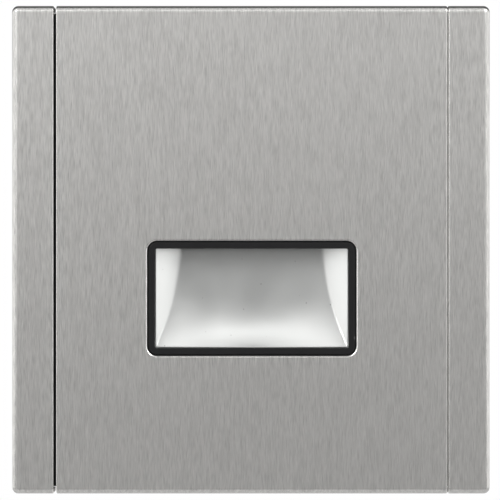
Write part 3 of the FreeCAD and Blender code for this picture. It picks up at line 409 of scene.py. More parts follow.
# edgeGain: how much brighter the edges are, partly wear and partly painted highlight; sheared: the painted
# highlight on sideways edges only within this distance of the middle
brushed = {
    "brushed_steel": dict(colour=(0.64, 0.632, 0.615), width=0.18, length=2.6, coarse=0.35, contrast=0.24,
                          rough=0.47, edge=0.3, edgeGain=1.55, bump=0.6, depth=0.03, turnedRough=0.5,
                          sheared=51.0),
    "zinc_steel": dict(colour=(0.60, 0.61, 0.60), width=0.2, length=2.0, coarse=0.3, contrast=0.08,
                       rough=0.35, edge=0.15, edgeGain=1.3, bump=0.2, depth=0.01, turnedRough=0.7),
    "stud_steel": dict(colour=(0.55, 0.55, 0.55), width=0.15, length=0.6, coarse=0.3, contrast=0.08,
                       rough=0.3, edge=0.12, edgeGain=1.3, bump=0.3, depth=0.01, turnedRough=0.7,
                       turn=(math.pi / 2, 0, 0)),
    "spring_steel": dict(colour=(0.50, 0.50, 0.49), width=0.15, length=5.0, coarse=0.3, contrast=0.08,
                         rough=0.25, edge=0.1, edgeGain=1.3, bump=0.2, depth=0.01, turnedRough=0.7,
                         turn=(math.pi / 2, 0, 0)),
    "aluminium_plain": dict(colour=(0.70, 0.71, 0.72), width=0.3, length=6.0, coarse=0.4, contrast=0.06,
                            rough=0.4, edge=0.2, edgeGain=1.2, bump=0.2, depth=0.01, turnedRough=0.7,
                            turn=(0, math.pi / 2, 0)),
}
moulded = {
    "black_plastic": dict(colour=(0.03, 0.03, 0.032), grain=0.22, flow=10.0, rough=0.55, edge=0.25,
                          edgePale=0.12, bump=0.25, depth=0.03, dustSpacing=3.0),
    "bezel_black": dict(colour=(0.009, 0.009, 0.0095), grain=0.15, flow=8.0, rough=0.5, edge=0.15,
                        edgePale=0.05, bump=0.15, depth=0.01, dustSpacing=4.0, gloss=0.22),
    "foam_black": dict(colour=(0.03, 0.03, 0.03), grain=0.35, flow=5.0, rough=0.9, edge=0.2, edgePale=0.04,
                       bump=0.8, depth=0.1, dustSpacing=2.0),
    "white_plastic": dict(colour=(0.82, 0.82, 0.80), grain=0.2, flow=8.0, rough=0.4, edge=0.2, edgePale=0.3,
                          bump=0.15, depth=0.02, dustSpacing=4.0),
    "board_white": dict(colour=(0.86, 0.87, 0.86), grain=0.3, flow=6.0, rough=0.3, edge=0.2, edgePale=0.2,
                        bump=0.1, depth=0.01, dustSpacing=4.0),
    "board_green": dict(colour=(0.04, 0.22, 0.10), grain=0.3, flow=6.0, rough=0.3, edge=0.2, edgePale=0.2,
                        bump=0.1, depth=0.01, dustSpacing=4.0),
    "led_yellow": dict(colour=(0.90, 0.68, 0.12), grain=0.1, flow=2.0, rough=0.2, edge=0.1, edgePale=0.2,
                       bump=0.1, depth=0.01, dustSpacing=4.0),
    "ferrite_grey": dict(colour=(0.09, 0.09, 0.10), grain=0.15, flow=3.0, rough=0.7, edge=0.2, edgePale=0.1,
                         bump=0.4, depth=0.03, dustSpacing=3.0),
    "copper_winding": dict(colour=(0.62, 0.26, 0.11), grain=0.2, flow=3.0, rough=0.28, metal=0.85, edge=0.1,
                           edgePale=0.1, bump=0.2, depth=0.02, dustSpacing=4.0),
    "capacitor_sleeve": dict(colour=(0.05, 0.06, 0.09), grain=0.4, flow=4.0, rough=0.3, edge=0.2,
                             edgePale=0.1, bump=0.1, depth=0.02, dustSpacing=4.0),
    "capacitor_film": dict(colour=(0.55, 0.35, 0.05), grain=0.3, flow=4.0, rough=0.35, edge=0.2, edgePale=0.1,
                           bump=0.15, depth=0.02, dustSpacing=4.0),
    "chip_black": dict(colour=(0.02, 0.02, 0.02), grain=0.12, flow=3.0, rough=0.6, edge=0.1, edgePale=0.1,
                       bump=0.3, depth=0.02, dustSpacing=4.0),
    "lead_insulation": dict(colour=(0.55, 0.03, 0.03), grain=0.3, flow=5.0, rough=0.4, edge=0.1,
                            edgePale=0.1, bump=0.1, depth=0.01, dustSpacing=4.0),
    "terminal_grey": dict(colour=(0.45, 0.46, 0.47), grain=0.2, flow=8.0, rough=0.45, edge=0.2, edgePale=0.25,
                          bump=0.2, depth=0.02, dustSpacing=4.0),
    "lever_orange": dict(colour=(0.85, 0.25, 0.03), grain=0.2, flow=6.0, rough=0.4, edge=0.2, edgePale=0.2,
                         bump=0.15, depth=0.02, dustSpacing=4.0),
    "frame_paint": dict(colour=(0.035, 0.035, 0.036), grain=0.3, flow=10.0, rough=0.6, edge=0.3,
                        edgePale=0.12, bump=0.5, depth=0.05, dustSpacing=3.0),
    "box_grey": dict(colour=(0.16, 0.165, 0.17), grain=0.3, flow=14.0, rough=0.5, edge=0.3, edgePale=0.15,
                     bump=0.3, depth=0.04, dustSpacing=3.0),
    "rubber_black": dict(colour=(0.025, 0.025, 0.025), grain=0.3, flow=6.0, rough=0.75, edge=0.2,
                         edgePale=0.05, bump=0.3, depth=0.03, dustSpacing=2.5),
}
reflector = dict(colour=(0.90, 0.91, 0.893), tints=(0.97, 1.02), grain=0.35, flow=9.0, rough=0.312,
                 roughSpread=0.03, metal=0.95, bump=0.12, depth=0.02, dustSpacing=1.3, dustShare=0.14,
                 dustSize=0.11, dustCover=0.8, dustColour=(0.12, 0.12, 0.11))
lens = dict(colour=(0.92, 0.94, 0.95, 1), clear=0.9, bend=1.49, grain=0.8, flow=6.0, rough=0.085,
            roughSpread=0.035, bump=0.1, depth=0.01)


def clearPlastic(name, look):
    material, tree, shader, place = startMaterial(name)
    mould = useGroup(tree, "mouldTexture", Vector=place, Grain=look["grain"], Flow=look["flow"])
    shader.inputs["Base Color"].default_value = look["colour"]
    shader.inputs["Transmission Weight"].default_value = look["clear"]
    shader.inputs["IOR"].default_value = look["bend"]
    roughFlow(tree, shader, mould["Flow"], look["rough"], look["roughSpread"])
    bump(tree, shader, mould["Height"], look["bump"], look["depth"])
    return material


def within(tree, value, middle, half):  # 1 where the value is that near to the middle
    return calc(tree, "LESS_THAN", calc(tree, "ABSOLUTE", minus(tree, value, middle)), half)


def placeParts(tree):  # x, y and z on the piece in millimetres
    return split(tree, mapped(tree, objectPlace(tree), (1 / mm, 1 / mm, 1 / mm)))


def overPaint(material, mask, colour):  # lays a second colour over a finish
    tree = material.node_tree
    target = tree.nodes["Principled BSDF"].inputs["Base Color"]
    under = target.links[0].from_socket
    join(tree, blendColours(tree, mask, under, (*colour, 1)), target)


def circuitBoard(name, look):
    material = mouldedPlastic(name, look)
    tree = material.node_tree
    tracks = useGroup(tree, "boardTracks", Vector=objectPlace(tree), Pitch=look["pitch"],
                      Width=look["trackWidth"], Pad=look["pad"])
    overPaint(material, times(tree, tracks["Track"], look["trackCover"]), look["trackColour"])
    overPaint(material, tracks["Pad"], look["padColour"])
    return material


def cellFoam(name, look):
    material = mouldedPlastic(name, look)
    tree = material.node_tree
    cells = useGroup(tree, "foamCells", Vector=objectPlace(tree), Cell=look["cell"])
    overPaint(material, times(tree, cells["Pore"], look["poreCover"]), look["poreColour"])
    bump(tree, tree.nodes["Principled BSDF"], cells["Height"], look["poreBump"], look["poreDepth"])
    return material


def ledPackage(name, look):  # white package with a yellow dome over each chip
    material = mouldedPlastic(name, look)
    tree = material.node_tree
    x, y = placeParts(tree)[:2]
    turn = over(tree, plus(tree, x, look["pitch"] / 2 - look["middle"]), look["pitch"])
    dx = times(tree, minus(tree, calc(tree, "FRACT", turn), 0.5), look["pitch"])
    dy = minus(tree, y, look["middle"])
    reach = calc(tree, "SQRT", plus(tree, times(tree, dx, dx), times(tree, dy, dy)))
    overPaint(material, calc(tree, "GREATER_THAN", reach, look["dome"]), look["packageColour"])
    return material


def twoWires(name, look):  # red wire on the right, black on the left
    material = mouldedPlastic(name, look)
    tree = material.node_tree
    x = placeParts(tree)[0]
    overPaint(material, calc(tree, "LESS_THAN", x, look["split"]), look["leftColour"])
    return material


def sleevedCan(name, look):  # printed stripe down the sleeve, bare scored aluminium at the end
    material = mouldedPlastic(name, look)
    tree = material.node_tree
    x, y, z = placeParts(tree)
    middleX, middleZ = look["middle"]
    overPaint(material, calc(tree, "LESS_THAN", x, middleX - look["stripe"]), look["stripeColour"])
    bare = calc(tree, "LESS_THAN", y, look["end"])
    overPaint(material, bare, look["bareColour"])
    half = look["scoreHalf"]
    score = calc(tree, "MAXIMUM", within(tree, x, middleX, half), within(tree, z, middleZ, half))
    overPaint(material, times(tree, times(tree, score, bare), look["scoreCover"]), look["scoreColour"])
    join(tree, times(tree, bare, look["bareMetal"]), tree.nodes["Principled BSDF"].inputs["Metallic"])
    return material


tracked = dict(pitch=1.3, trackWidth=0.45, pad=0.32, trackCover=0.7)
special = {
    "board_green": (circuitBoard, dict(tracked, trackColour=(0.09, 0.36, 0.17),
                                       padColour=(0.75, 0.72, 0.62))),
    "board_white": (circuitBoard, dict(tracked, trackColour=(0.78, 0.80, 0.79),
                                       padColour=(0.70, 0.70, 0.68))),
    "foam_black": (cellFoam, dict(cell=0.5, poreColour=(0.01, 0.01, 0.01), poreCover=0.6, poreBump=0.7,
                                  poreDepth=0.12)),
    "led_yellow": (ledPackage, dict(pitch=8.0, middle=0.2, dome=1.1, packageColour=(0.85, 0.85, 0.82))),
    "lead_insulation": (twoWires, dict(split=22.3, leftColour=(0.03, 0.03, 0.03))),
    "capacitor_sleeve": (sleevedCan, dict(middle=(-3.8, 32.05), stripe=2.9, end=3.75, bareMetal=0.9,
                                          stripeColour=(0.5, 0.52, 0.55), bareColour=(0.75, 0.76, 0.77),
                                          scoreHalf=0.12, scoreCover=0.7, scoreColour=(0.2, 0.2, 0.2))),
}

finishes = {name: brushedMetal(name, look) for name, look in brushed.items()}
for slotName, slotLook in moulded.items():
    build, extra = special.get(slotName, (mouldedPlastic, {}))
    finishes[slotName] = build(slotName, {**slotLook, **extra})
finishes["reflector_silver"] = satinReflector("reflector_silver", reflector)
finishes["clear_lens"] = clearPlastic("clear_lens", lens)
for part in frame["record"]["subparts"]:
    mesh = nodes[part["node"]].data
    mesh.materials.clear()
    mesh.materials.append(finishes[part["material_slot"]])
print("finishes built:", len(finishes))


# geometry node helpers

def readTree(name, inputs, withPoints=False):
    tree = bpy.data.node_groups.new(name, "GeometryNodeTree")
    points = {"Points": ("Geometry", None)} if withPoints else {}
    given, out = sockets(tree, {**points, **inputs}, {"Geometry": "Geometry"})
    return tree, given, out[0]


def closeTree(tree, geometry, material, out):
    whole = addNode(tree, "GeometryNodeRealizeInstances")
    join(tree, geometry, whole.inputs[0])
    painted = addNode(tree, "GeometryNodeSetMaterial")
    join(tree, whole.outputs[0], painted.inputs["Geometry"])
    painted.inputs["Material"].default_value = material
    join(tree, painted.outputs[0], out)


def onPoints(tree, points, shape, turn):  # one copy of the shape, turned, at each point
    turned = addNode(tree, "GeometryNodeTransform")
    join(tree, shape, turned.inputs["Geometry"])
    join(tree, turn, turned.inputs["Rotation"])
    copies = addNode(tree, "GeometryNodeInstanceOnPoints")
    join(tree, points, copies.inputs["Points"])
    join(tree, turned.outputs[0], copies.inputs["Instance"])
    return copies.outputs[0]


def runTree(name, tree, values, places=()):  # the tree's result as a plain mesh, on points at the places
    piece = bpy.data.objects.new(name, bpy.data.meshes.new(name))
    piece.data.from_pydata([[value * mm for value in place] for place in places], [], [])
    bpy.context.scene.collection.objects.link(piece)
    modifier = piece.modifiers.new("shape", "NODES")
    modifier.node_group = tree
    found = {item.name: item for item in tree.interface.items_tree if item.in_out == "INPUT"}
    for key, value in values.items():
        modifier[found[key].identifier] = value
    ready = piece.evaluated_get(bpy.context.evaluated_depsgraph_get())
    mesh = bpy.data.meshes.new_from_object(ready)
    piece.modifiers.remove(modifier)
    piece.data = mesh
    mesh.name = name
    return piece


def boxInto(shape, low, high):
    corners = [shape.verts.new(Vector((x, y, z)) * mm) for x in (low[0], high[0]) for y in (low[1], high[1])
               for z in (low[2], high[2])]
    for face in ((0, 1, 3, 2), (4, 6, 7, 5), (0, 4, 5, 1), (2, 3, 7, 6), (0, 2, 6, 4), (1, 5, 7, 3)):
        shape.faces.new([corners[n] for n in face])


def roundInto(shape, radius, depth, sides, matrix):
    bmesh.ops.create_cone(shape, cap_ends=True, segments=sides, radius1=radius * mm, radius2=radius * mm,
                          depth=depth * mm, matrix=matrix)


# reflector: a back that curves into the floor and bows across its width, cut off by two curved side walls

scoop = {
    "Half Width": 21.55, "Bottom": -21.85, "Ceiling": 1.65, "Floor Depth": 3.35, "Floor Run": 3.5,
    "Sweep": 1.45, "Sweep Power": 1.4, "Lean": 0.015, "Side Depth": 4.3, "Side Run": 11.0, "Bow": 0.15,
    "Crease": 0.2, "Middle": 0.2, "Mouth": -3.5, "Across": 200, "Up": 150,
}
scoopRest = dict(level=0.25, wall=1.3, flange=3.0, flangeThick=1.2, shelfHalf=19.5, shelfBack=5.8,
                 lensHalf=14.0, lensFront=-1.1, lensBack=1.5, bossAt=17.15, bossRadius=2.15, bossTop=4.0,
                 bossDepth=0.2, bossSides=40)


def scoopTree():
    kinds = {name: ("Int" if name in ("Across", "Up") else "Float", value) for name, value in scoop.items()}
    tree, given, out = readTree("reflectorScoop", kinds)
    grid = addNode(tree, "GeometryNodeMeshGrid")
    join(tree, given["Across"], grid.inputs["Vertices X"])
    join(tree, given["Up"], grid.inputs["Vertices Y"])
    gridX, gridY = split(tree, addNode(tree, "GeometryNodeInputPosition").outputs[0])[:2]
    across = times(tree, gridX, times(tree, given["Half Width"], 2.0))
    tall = minus(tree, given["Ceiling"], given["Bottom"])
    rise = times(tree, plus(tree, gridY, 0.5), tall)
    fromSide = minus(tree, given["Half Width"], calc(tree, "ABSOLUTE", across))
    left = minus(tree, 1.0, over(tree, fromSide, given["Side Run"], clamp=True))
    wall = times(tree, given["Side Depth"], minus(tree, 1.0, times(tree, left, left)))
    share = over(tree, across, given["Half Width"])
    outward = calc(tree, "POWER", calc(tree, "ABSOLUTE", share), given["Sweep Power"])
    run = times(tree, given["Floor Run"], plus(tree, 1.0, times(tree, given["Sweep"], outward)))
    fade = calc(tree, "EXPONENT", over(tree, times(tree, rise, -1.0), run))
    curved = times(tree, given["Floor Depth"], minus(tree, 1.0, fade))
    back = calc(tree, "MULTIPLY_ADD", rise, given["Lean"], curved)
    bow = times(tree, given["Bow"], times(tree, share, share))
    back = times(tree, back, minus(tree, 1.0, bow))
    both = calc(tree, "SMOOTH_MIN", wall, back, given["Crease"])
    small = addNode(tree, "ShaderNodeVectorMath", operation="SCALE")
    join(tree, merged(tree, plus(tree, across, given["Middle"]),
                      plus(tree, given["Mouth"], calc(tree, "MAXIMUM", both, 0.0)),
                      plus(tree, given["Bottom"], rise)), small.inputs[0])
    small.inputs["Scale"].default_value = mm
    moved = addNode(tree, "GeometryNodeSetPosition")
    join(tree, grid.outputs["Mesh"], moved.inputs["Geometry"])
    join(tree, small.outputs[0], moved.inputs["Position"])
    smooth = addNode(tree, "GeometryNodeSetShadeSmooth")
    join(tree, moved.outputs[0], smooth.inputs["Geometry"])
    closeTree(tree, smooth.outputs[0], finishes["reflector_silver"], out)
    return tree


def addReflector():
    piece = runTree("reflector", scoopTree(), scoop)
    wall = piece.modifiers.new("wall", "SOLIDIFY")
    wall.thickness = scoopRest["wall"] * mm
    wall.offset = -1.0
    solid = bpy.data.meshes.new_from_object(piece.evaluated_get(bpy.context.evaluated_depsgraph_get()))
    piece.modifiers.remove(wall)
    shape = bmesh.new()
    shape.from_mesh(solid)
    half, middle, rest = scoop["Half Width"], scoop["Middle"], scoopRest
    x0, x1 = middle - half, middle + half
    y0, y1 = scoop["Mouth"], scoop["Mouth"] + rest["flangeThick"]
    z0, z1 = scoop["Bottom"], scoop["Ceiling"]
    edge = rest["wall"] + rest["flange"]
    top = rest["level"] + edge
    shelfLeft, shelfRight = middle - rest["shelfHalf"], middle + rest["shelfHalf"]
    lensLeft, lensRight = middle - rest["lensHalf"], middle + rest["lensHalf"]
    roof = z1 + rest["wall"]
    for low, high in (
        ((x0 - edge, y0, z0 - edge), (x0, y1, top)),             # flange round the mouth
        ((x1, y0, z0 - edge), (x1 + edge, y1, top)),
        ((x0, y0, z0 - edge), (x1, y1, z0)),
        ((x0, y0, z1), (x1, y1, top)),
        ((shelfLeft, y1, z1), (lensLeft, rest["shelfBack"], roof)),     # roof round the lens
        ((lensRight, y1, z1), (shelfRight, rest["shelfBack"], roof)),
        ((lensLeft, y1, z1), (lensRight, rest["lensFront"], roof)),
        ((lensLeft, rest["lensBack"], z1), (lensRight, rest["shelfBack"], roof)),
    ):
        boxInto(shape, low, high)
    for side in (-1, 1):
        place = Vector((middle + side * rest["bossAt"], rest["bossDepth"], (roof + rest["bossTop"]) / 2)) * mm
        roundInto(shape, rest["bossRadius"], rest["bossTop"] - roof, rest["bossSides"],
                  Matrix.Translation(place))
    shape.to_mesh(solid)
    shape.free()
    piece.data = solid
    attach(piece, "light_module")
    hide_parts("reflector_scoop")


addReflector()
print("reflector built")


# threads, windings, solder joints and grip ribs: small shapes repeated at listed places

lieBack = (-math.pi / 2, 0, 0)    # turns a shape built along Z to run along +Y
lieFront = (math.pi / 2, 0, 0)
lieAcross = (0, math.pi / 2, 0)
rounds = dict(turn=36, joint=24, pin=16, rib=20, core=64)    # steps round each kind of shape
pinTip = 0.8                      # a pin's end against its root


def helixTree(slot):
    tree, given, out = readTree("helix_" + slot, {
        "Radius": ("Float", 1.5), "Wire": ("Float", 0.1), "Pitch": ("Float", 0.5), "Length": ("Float", 5.0),
        "Sides": ("Int", 4), "Turn": ("Vector", None),
    }, withPoints=True)
    path = addNode(tree, "GeometryNodeCurveSpiral")
    path.inputs["Resolution"].default_value = rounds["turn"]
    join(tree, over(tree, given["Length"], given["Pitch"]), path.inputs["Rotations"])
    for socket in ("Start Radius", "End Radius"):
        join(tree, times(tree, given["Radius"], mm), path.inputs[socket])
    join(tree, times(tree, given["Length"], mm), path.inputs["Height"])
    profile = addNode(tree, "GeometryNodeCurvePrimitiveCircle")
    join(tree, given["Sides"], profile.inputs["Resolution"])
    join(tree, times(tree, given["Wire"], mm), profile.inputs["Radius"])
    tube = addNode(tree, "GeometryNodeCurveToMesh")
    join(tree, path.outputs["Curve"], tube.inputs["Curve"])
    join(tree, profile.outputs["Curve"], tube.inputs["Profile Curve"])
    tube.inputs["Fill Caps"].default_value = True
    copies = onPoints(tree, given["Points"], tube.outputs[0], given["Turn"])
    closeTree(tree, copies, finishes[slot], out)
    return tree


def jointTree():
    tree, given, out = readTree("solderJoints", {
        "Foot": ("Float", 0.6), "Tip": ("Float", 0.3), "Height": ("Float", 0.65), "Pin": ("Float", 0.24),
        "Pin Length": ("Float", 1.0), "Turn": ("Vector", None),
    }, withPoints=True)
    cone = addNode(tree, "GeometryNodeMeshCone")
    cone.inputs["Vertices"].default_value = rounds["joint"]
    join(tree, times(tree, given["Foot"], mm), cone.inputs["Radius Bottom"])
    join(tree, times(tree, given["Tip"], mm), cone.inputs["Radius Top"])
    join(tree, times(tree, given["Height"], mm), cone.inputs["Depth"])
    pin = addNode(tree, "GeometryNodeMeshCone")
    pin.inputs["Vertices"].default_value = rounds["pin"]
    for socket, share in (("Radius Bottom", 1.0), ("Radius Top", pinTip)):
        join(tree, times(tree, given["Pin"], share * mm), pin.inputs[socket])
    join(tree, times(tree, given["Pin Length"], mm), pin.inputs["Depth"])
    both = addNode(tree, "GeometryNodeJoinGeometry")
    for part in (cone, pin):
        join(tree, part.outputs["Mesh"], both.inputs[0])
    copies = onPoints(tree, given["Points"], both.outputs[0], given["Turn"])
    closeTree(tree, copies, finishes["zinc_steel"], out)
    return tree


def ribTree():
    tree, given, out = readTree("gripRibs", {
        "Radius": ("Float", 0.3), "Width": ("Float", 4.0),
    }, withPoints=True)
    bar = addNode(tree, "GeometryNodeMeshCylinder")
    bar.inputs["Vertices"].default_value = rounds["rib"]
    join(tree, times(tree, given["Radius"], mm), bar.inputs["Radius"])
    join(tree, times(tree, given["Width"], mm), bar.inputs["Depth"])
    copies = onPoints(tree, given["Points"], bar.outputs["Mesh"], lieAcross)
    closeTree(tree, copies, finishes["lever_orange"], out)
    return tree


def fourPlaces(x, y, z, middle=0.0):
    return [(middle + sx * x, y, sz * z) for sx in (-1, 1) for sz in (-1, 1)]


def coverPlaces(y, headRadius):  # middles of the rear cover's screws
    low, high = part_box("rear_cover_screws")
    reach = headRadius * mm
    return [(x / mm, y, z / mm) for x in (low[0] + reach, high[0] - reach)
            for z in (low[2] + reach, high[2] - reach)]


threads = {
    "frame_screw_threads": dict(
        slot="zinc_steel", body="housing", places=fourPlaces(47.15, -2.0, 36.0),
        values={"Radius": 1.5, "Wire": 0.13, "Pitch": 1.0, "Length": 11.8, "Turn": lieBack}),
    "stud_threads": dict(
        slot="stud_steel", body="light_module", places=fourPlaces(31.0, -5.6, 28.05, 0.2),
        values={"Radius": 1.48, "Wire": 0.06, "Pitch": 0.5, "Length": 4.6, "Turn": lieBack}),
    "cover_screw_threads": dict(
        slot="zinc_steel", body="light_module", places=coverPlaces(12.8, 2.8),
        values={"Radius": 1.45, "Wire": 0.12, "Pitch": 0.9, "Length": 7.0, "Turn": lieBack}),
    "driver_screw_threads": dict(
        slot="zinc_steel", body="light_module",
        places=[(0.2 + sx * 26.8, 9.2, z) for sx in (-1, 1) for z in (13.4, 33.55)],
        values={"Radius": 1.1, "Wire": 0.1, "Pitch": 0.8, "Length": 4.2, "Turn": lieBack}),
}
coil = dict(place=(-15.8, 10.48, 29.05), coreRadius=4.9, coreFrom=10.32, coreTo=12.68, values={
    "Radius": 5.0, "Wire": 0.19, "Pitch": 0.385, "Length": 2.02, "Sides": 10, "Turn": lieBack})
joints = {
    "rear_joints": dict(turn=lieBack, places=[
        (-18.3, 15.6, 29.05), (-13.3, 15.6, 29.05), (14.95, 15.6, 31.55), (22.45, 15.6, 31.55),
        (21.45, 15.6, 21.0), (23.15, 15.6, 21.0)]),
    "front_joints": dict(turn=lieFront, places=[
        (-8.05, 14.0, 26.3), (-2.55, 14.0, 26.3), (2.95, 14.0, 26.3), (8.45, 14.0, 30.0),
        (-8.05, 14.0, 38.6), (-2.55, 14.0, 38.6), (2.95, 14.0, 38.6), (8.45, 14.0, 38.6)]),
}
ribs = dict(levers=4, first=-8.05, pitch=5.5, y=29.95, rows=(29.4, 30.5, 31.6, 32.7),
            values={"Radius": 0.28, "Width": 3.9})


def settle(piece, body, slot, *replaced):  # smooth faces, then the body it moves with; slot is not used
    for face in piece.data.polygons:
        face.use_smooth = True
    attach(piece, body)
    if replaced:
        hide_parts(*replaced)


def addThreads():
    trees = {slot: helixTree(slot) for slot in ("zinc_steel", "stud_steel", "copper_winding")}
    for name, thread in threads.items():
        piece = runTree(name, trees[thread["slot"]], thread["values"], thread["places"])
        settle(piece, thread["body"], thread["slot"])
    piece = runTree("coil", trees["copper_winding"], coil["values"], [coil["place"]])
    shape = bmesh.new()
    shape.from_mesh(piece.data)
    middle = Vector((coil["place"][0], (coil["coreFrom"] + coil["coreTo"]) / 2, coil["place"][2])) * mm
    roundInto(shape, coil["coreRadius"], coil["coreTo"] - coil["coreFrom"], rounds["core"],
              Matrix.Translation(middle) @ Matrix.Rotation(math.pi / 2, 4, "X"))
    shape.to_mesh(piece.data)
    shape.free()
    settle(piece, "light_module", "copper_winding", "choke_winding")


def addJoints():
    tree = jointTree()
    for name, joint in joints.items():
        settle(runTree(name, tree, {"Turn": joint["turn"]}, joint["places"]), "light_module", "zinc_steel")


def addRibs():
    tree = ribTree()
    for n in range(ribs["levers"]):
        x = ribs["first"] + n * ribs["pitch"]
        places = [(x, ribs["y"], z) for z in ribs["rows"]]
        piece = runTree("lever_ribs_%d" % (n + 1), tree, ribs["values"], places)
        settle(piece, "terminal_lever_%d" % (n + 1), "lever_orange")


addThreads()
addJoints()
addRibs()
print("threads, winding, solder joints and ribs built")


# camera, light and stage

shot = dict(sensor=36.0, distance=474.4, seenWidth=111.54, plane=-5.6, x=-0.2, z=-0.05, clipStart=0.01)


def addCamera():
    camera = bpy.data.objects.new("camera", bpy.data.cameras.new("camera"))
    bpy.context.scene.collection.objects.link(camera)
    camera.data.sensor_width = shot["sensor"]
    camera.data.lens = shot["sensor"] * shot["distance"] / shot["seenWidth"]
    camera.data.clip_start = shot["clipStart"]
    camera.location = (shot["x"] * mm, (shot["plane"] - shot["distance"]) * mm, shot["z"] * mm)
    camera.rotation_euler = (math.pi / 2, 0, 0)
    bpy.context.scene.camera = camera


studio = dict(
    room=0.85,                      # world strength on matt surfaces
    overhead=0.77, sides=1.14,      # how bright shiny surfaces see it above and at the sides
    overheadFrom=0.3, overheadTo=0.8, sidesFrom=0.7, sidesTo=0.92,
    key=dict(place=(-0.5, -0.9, 1.3), size=1.2, power=3.0, shine=False),
    left=dict(place=(-0.7, -0.9, 0.58), size=0.55, power=4.8, shine=True),
    right=dict(place=(0.78, -0.85, 0.75), size=0.5, power=6.0, shine=True),
    screen=dict(place=(0.03, -1.1, -0.1), tilt=90, halfWidth=1.6, halfHeight=0.86, soft=0.62, colour=0.085,
                fadeOut=0.3, outer=0.4),
    cloth=dict(place=(0, -0.46, -0.16), tilt=0, halfWidth=1.0, halfHeight=0.3, soft=0.3, colour=0.03,
               fadeOut=1.0, outer=0.03),
    under=dict(place=(0, 0.05, -0.2), tilt=0, halfWidth=1.2, halfHeight=0.42, soft=0.3, colour=0.68,
               fadeOut=1.0, outer=0.68),
    back=dict(place=(0, 0.6, 0.6), tilt=-35, halfWidth=1.6, halfHeight=0.95, soft=0.12, colour=0.06,
              fadeOut=1.0, outer=0.06),
    floorDrop=0.45, floorSize=6.0, floorColour=0.92, floorLift=0.12,
)


def lightPathShare(tree):  # 1 for what the camera, a shiny surface or a lens sees
    path = addNode(tree, "ShaderNodeLightPath")
    seen = calc(tree, "MAXIMUM", path.outputs["Is Camera Ray"], path.outputs["Is Glossy Ray"])
    return calc(tree, "MAXIMUM", seen, path.outputs["Is Transmission Ray"])


def addWorld():
    world = bpy.data.worlds.new("studio")
    bpy.context.scene.world = world
    world.use_nodes = True
    tree = world.node_tree
    path = addNode(tree, "ShaderNodeLightPath")
    x, z = split(tree, addNode(tree, "ShaderNodeTexCoord").outputs["Generated"])[::2]
    overhead = spread(tree, z, studio["overheadFrom"], studio["overheadTo"], 1.0, studio["overhead"])
    outward = calc(tree, "ABSOLUTE", x)
    sideways = spread(tree, outward, studio["sidesFrom"], studio["sidesTo"], 1.0, studio["sides"])
    shiny = path.outputs["Is Glossy Ray"]
    reflected = spread(tree, shiny, 0.0, 1.0, 1.0, times(tree, overhead, sideways))
    join(tree, spread(tree, lightPathShare(tree), 0.0, 1.0, studio["room"], reflected),
         tree.nodes["Background"].inputs["Strength"])
    tree.nodes["Background"].inputs["Color"].default_value = (1, 1, 1, 1)


def stagePlane(name, width, height, place, rotation):
    mesh = bpy.data.meshes.new(name)
    corners = [(-width / 2, -height / 2, 0), (width / 2, -height / 2, 0), (width / 2, height / 2, 0),
               (-width / 2, height / 2, 0)]
    mesh.from_pydata(corners, [], [(0, 1, 2, 3)])
    plane = bpy.data.objects.new(name, mesh)
    plane.location = place
    plane.rotation_euler = rotation
    bpy.context.scene.collection.objects.link(plane)
    return plane


def stageMaterial(name):
    material = bpy.data.materials.new(name)
    material.use_nodes = True
    tree = material.node_tree
    tree.nodes.remove(tree.nodes["Principled BSDF"])
    return material, tree, tree.nodes["Material Output"].inputs["Surface"]


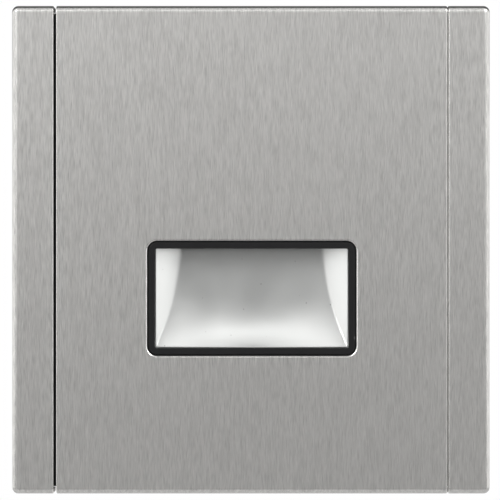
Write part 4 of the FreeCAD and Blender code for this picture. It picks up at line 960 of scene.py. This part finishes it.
def addFloor():
    size = studio["floorSize"]
    floor = stagePlane("floor", size, size, (0, 0, -studio["floorDrop"]), (0, 0, 0))
    material, tree, surface = stageMaterial("floorWhite")
    matt = addNode(tree, "ShaderNodeBsdfDiffuse")
    matt.inputs["Color"].default_value = (*[studio["floorColour"]] * 3, 1)
    lift = addNode(tree, "ShaderNodeEmission")
    join(tree, times(tree, lightPathShare(tree), studio["floorLift"]), lift.inputs["Strength"])
    both = addNode(tree, "ShaderNodeAddShader")
    join(tree, matt.outputs[0], both.inputs[0])
    join(tree, lift.outputs[0], both.inputs[1])
    join(tree, both.outputs[0], surface)
    floor.data.materials.append(material)


def addCard(name):  # dark or grey card with a soft edge, seen only in the steel and the reflector
    look = studio[name]
    card = stagePlane(name, 2 * look["halfWidth"], 2 * look["halfHeight"], look["place"],
                      (math.radians(look["tilt"]), 0, 0))
    card.visible_camera = False
    card.visible_diffuse = False
    card.visible_shadow = False
    material, tree, surface = stageMaterial(name)
    place = objectPlace(tree)
    shrunk = mapped(tree, place, (1 / look["halfWidth"], 1 / look["halfHeight"], 0))
    reach = addNode(tree, "ShaderNodeVectorMath", operation="LENGTH")
    join(tree, shrunk, reach.inputs[0])
    cover = spread(tree, reach.outputs["Value"], 1 - look["soft"], 1.0, 1.0, 0.0)
    clear = addNode(tree, "ShaderNodeBsdfTransparent")
    glow = addNode(tree, "ShaderNodeEmission")
    fromMiddle = calc(tree, "ABSOLUTE", split(tree, place)[0])
    tone = spread(tree, fromMiddle, 0.0, look["fadeOut"], look["colour"], look["outer"])
    join(tree, tone, glow.inputs["Strength"])
    mix = addNode(tree, "ShaderNodeMixShader")
    join(tree, cover, mix.inputs[0])
    join(tree, clear.outputs[0], mix.inputs[1])
    join(tree, glow.outputs[0], mix.inputs[2])
    join(tree, mix.outputs[0], surface)
    card.data.materials.append(material)


def addLamp(name):
    look = studio[name]
    lamp = bpy.data.objects.new(name, bpy.data.lights.new(name, "AREA"))
    lamp.data.size = look["size"]
    lamp.data.energy = look["power"]
    lamp.location = look["place"]
    lamp.rotation_euler = (-lamp.location).to_track_quat("-Z", "Y").to_euler()
    lamp.visible_glossy = look["shine"]
    bpy.context.scene.collection.objects.link(lamp)


addCamera()
addWorld()
addFloor()
for cardName in ("screen", "cloth", "under", "back"):
    addCard(cardName)
for lampName in ("key", "left", "right"):
    addLamp(lampName)
bpy.context.scene.view_settings.view_transform = "Standard"
print("camera, light and stage set")
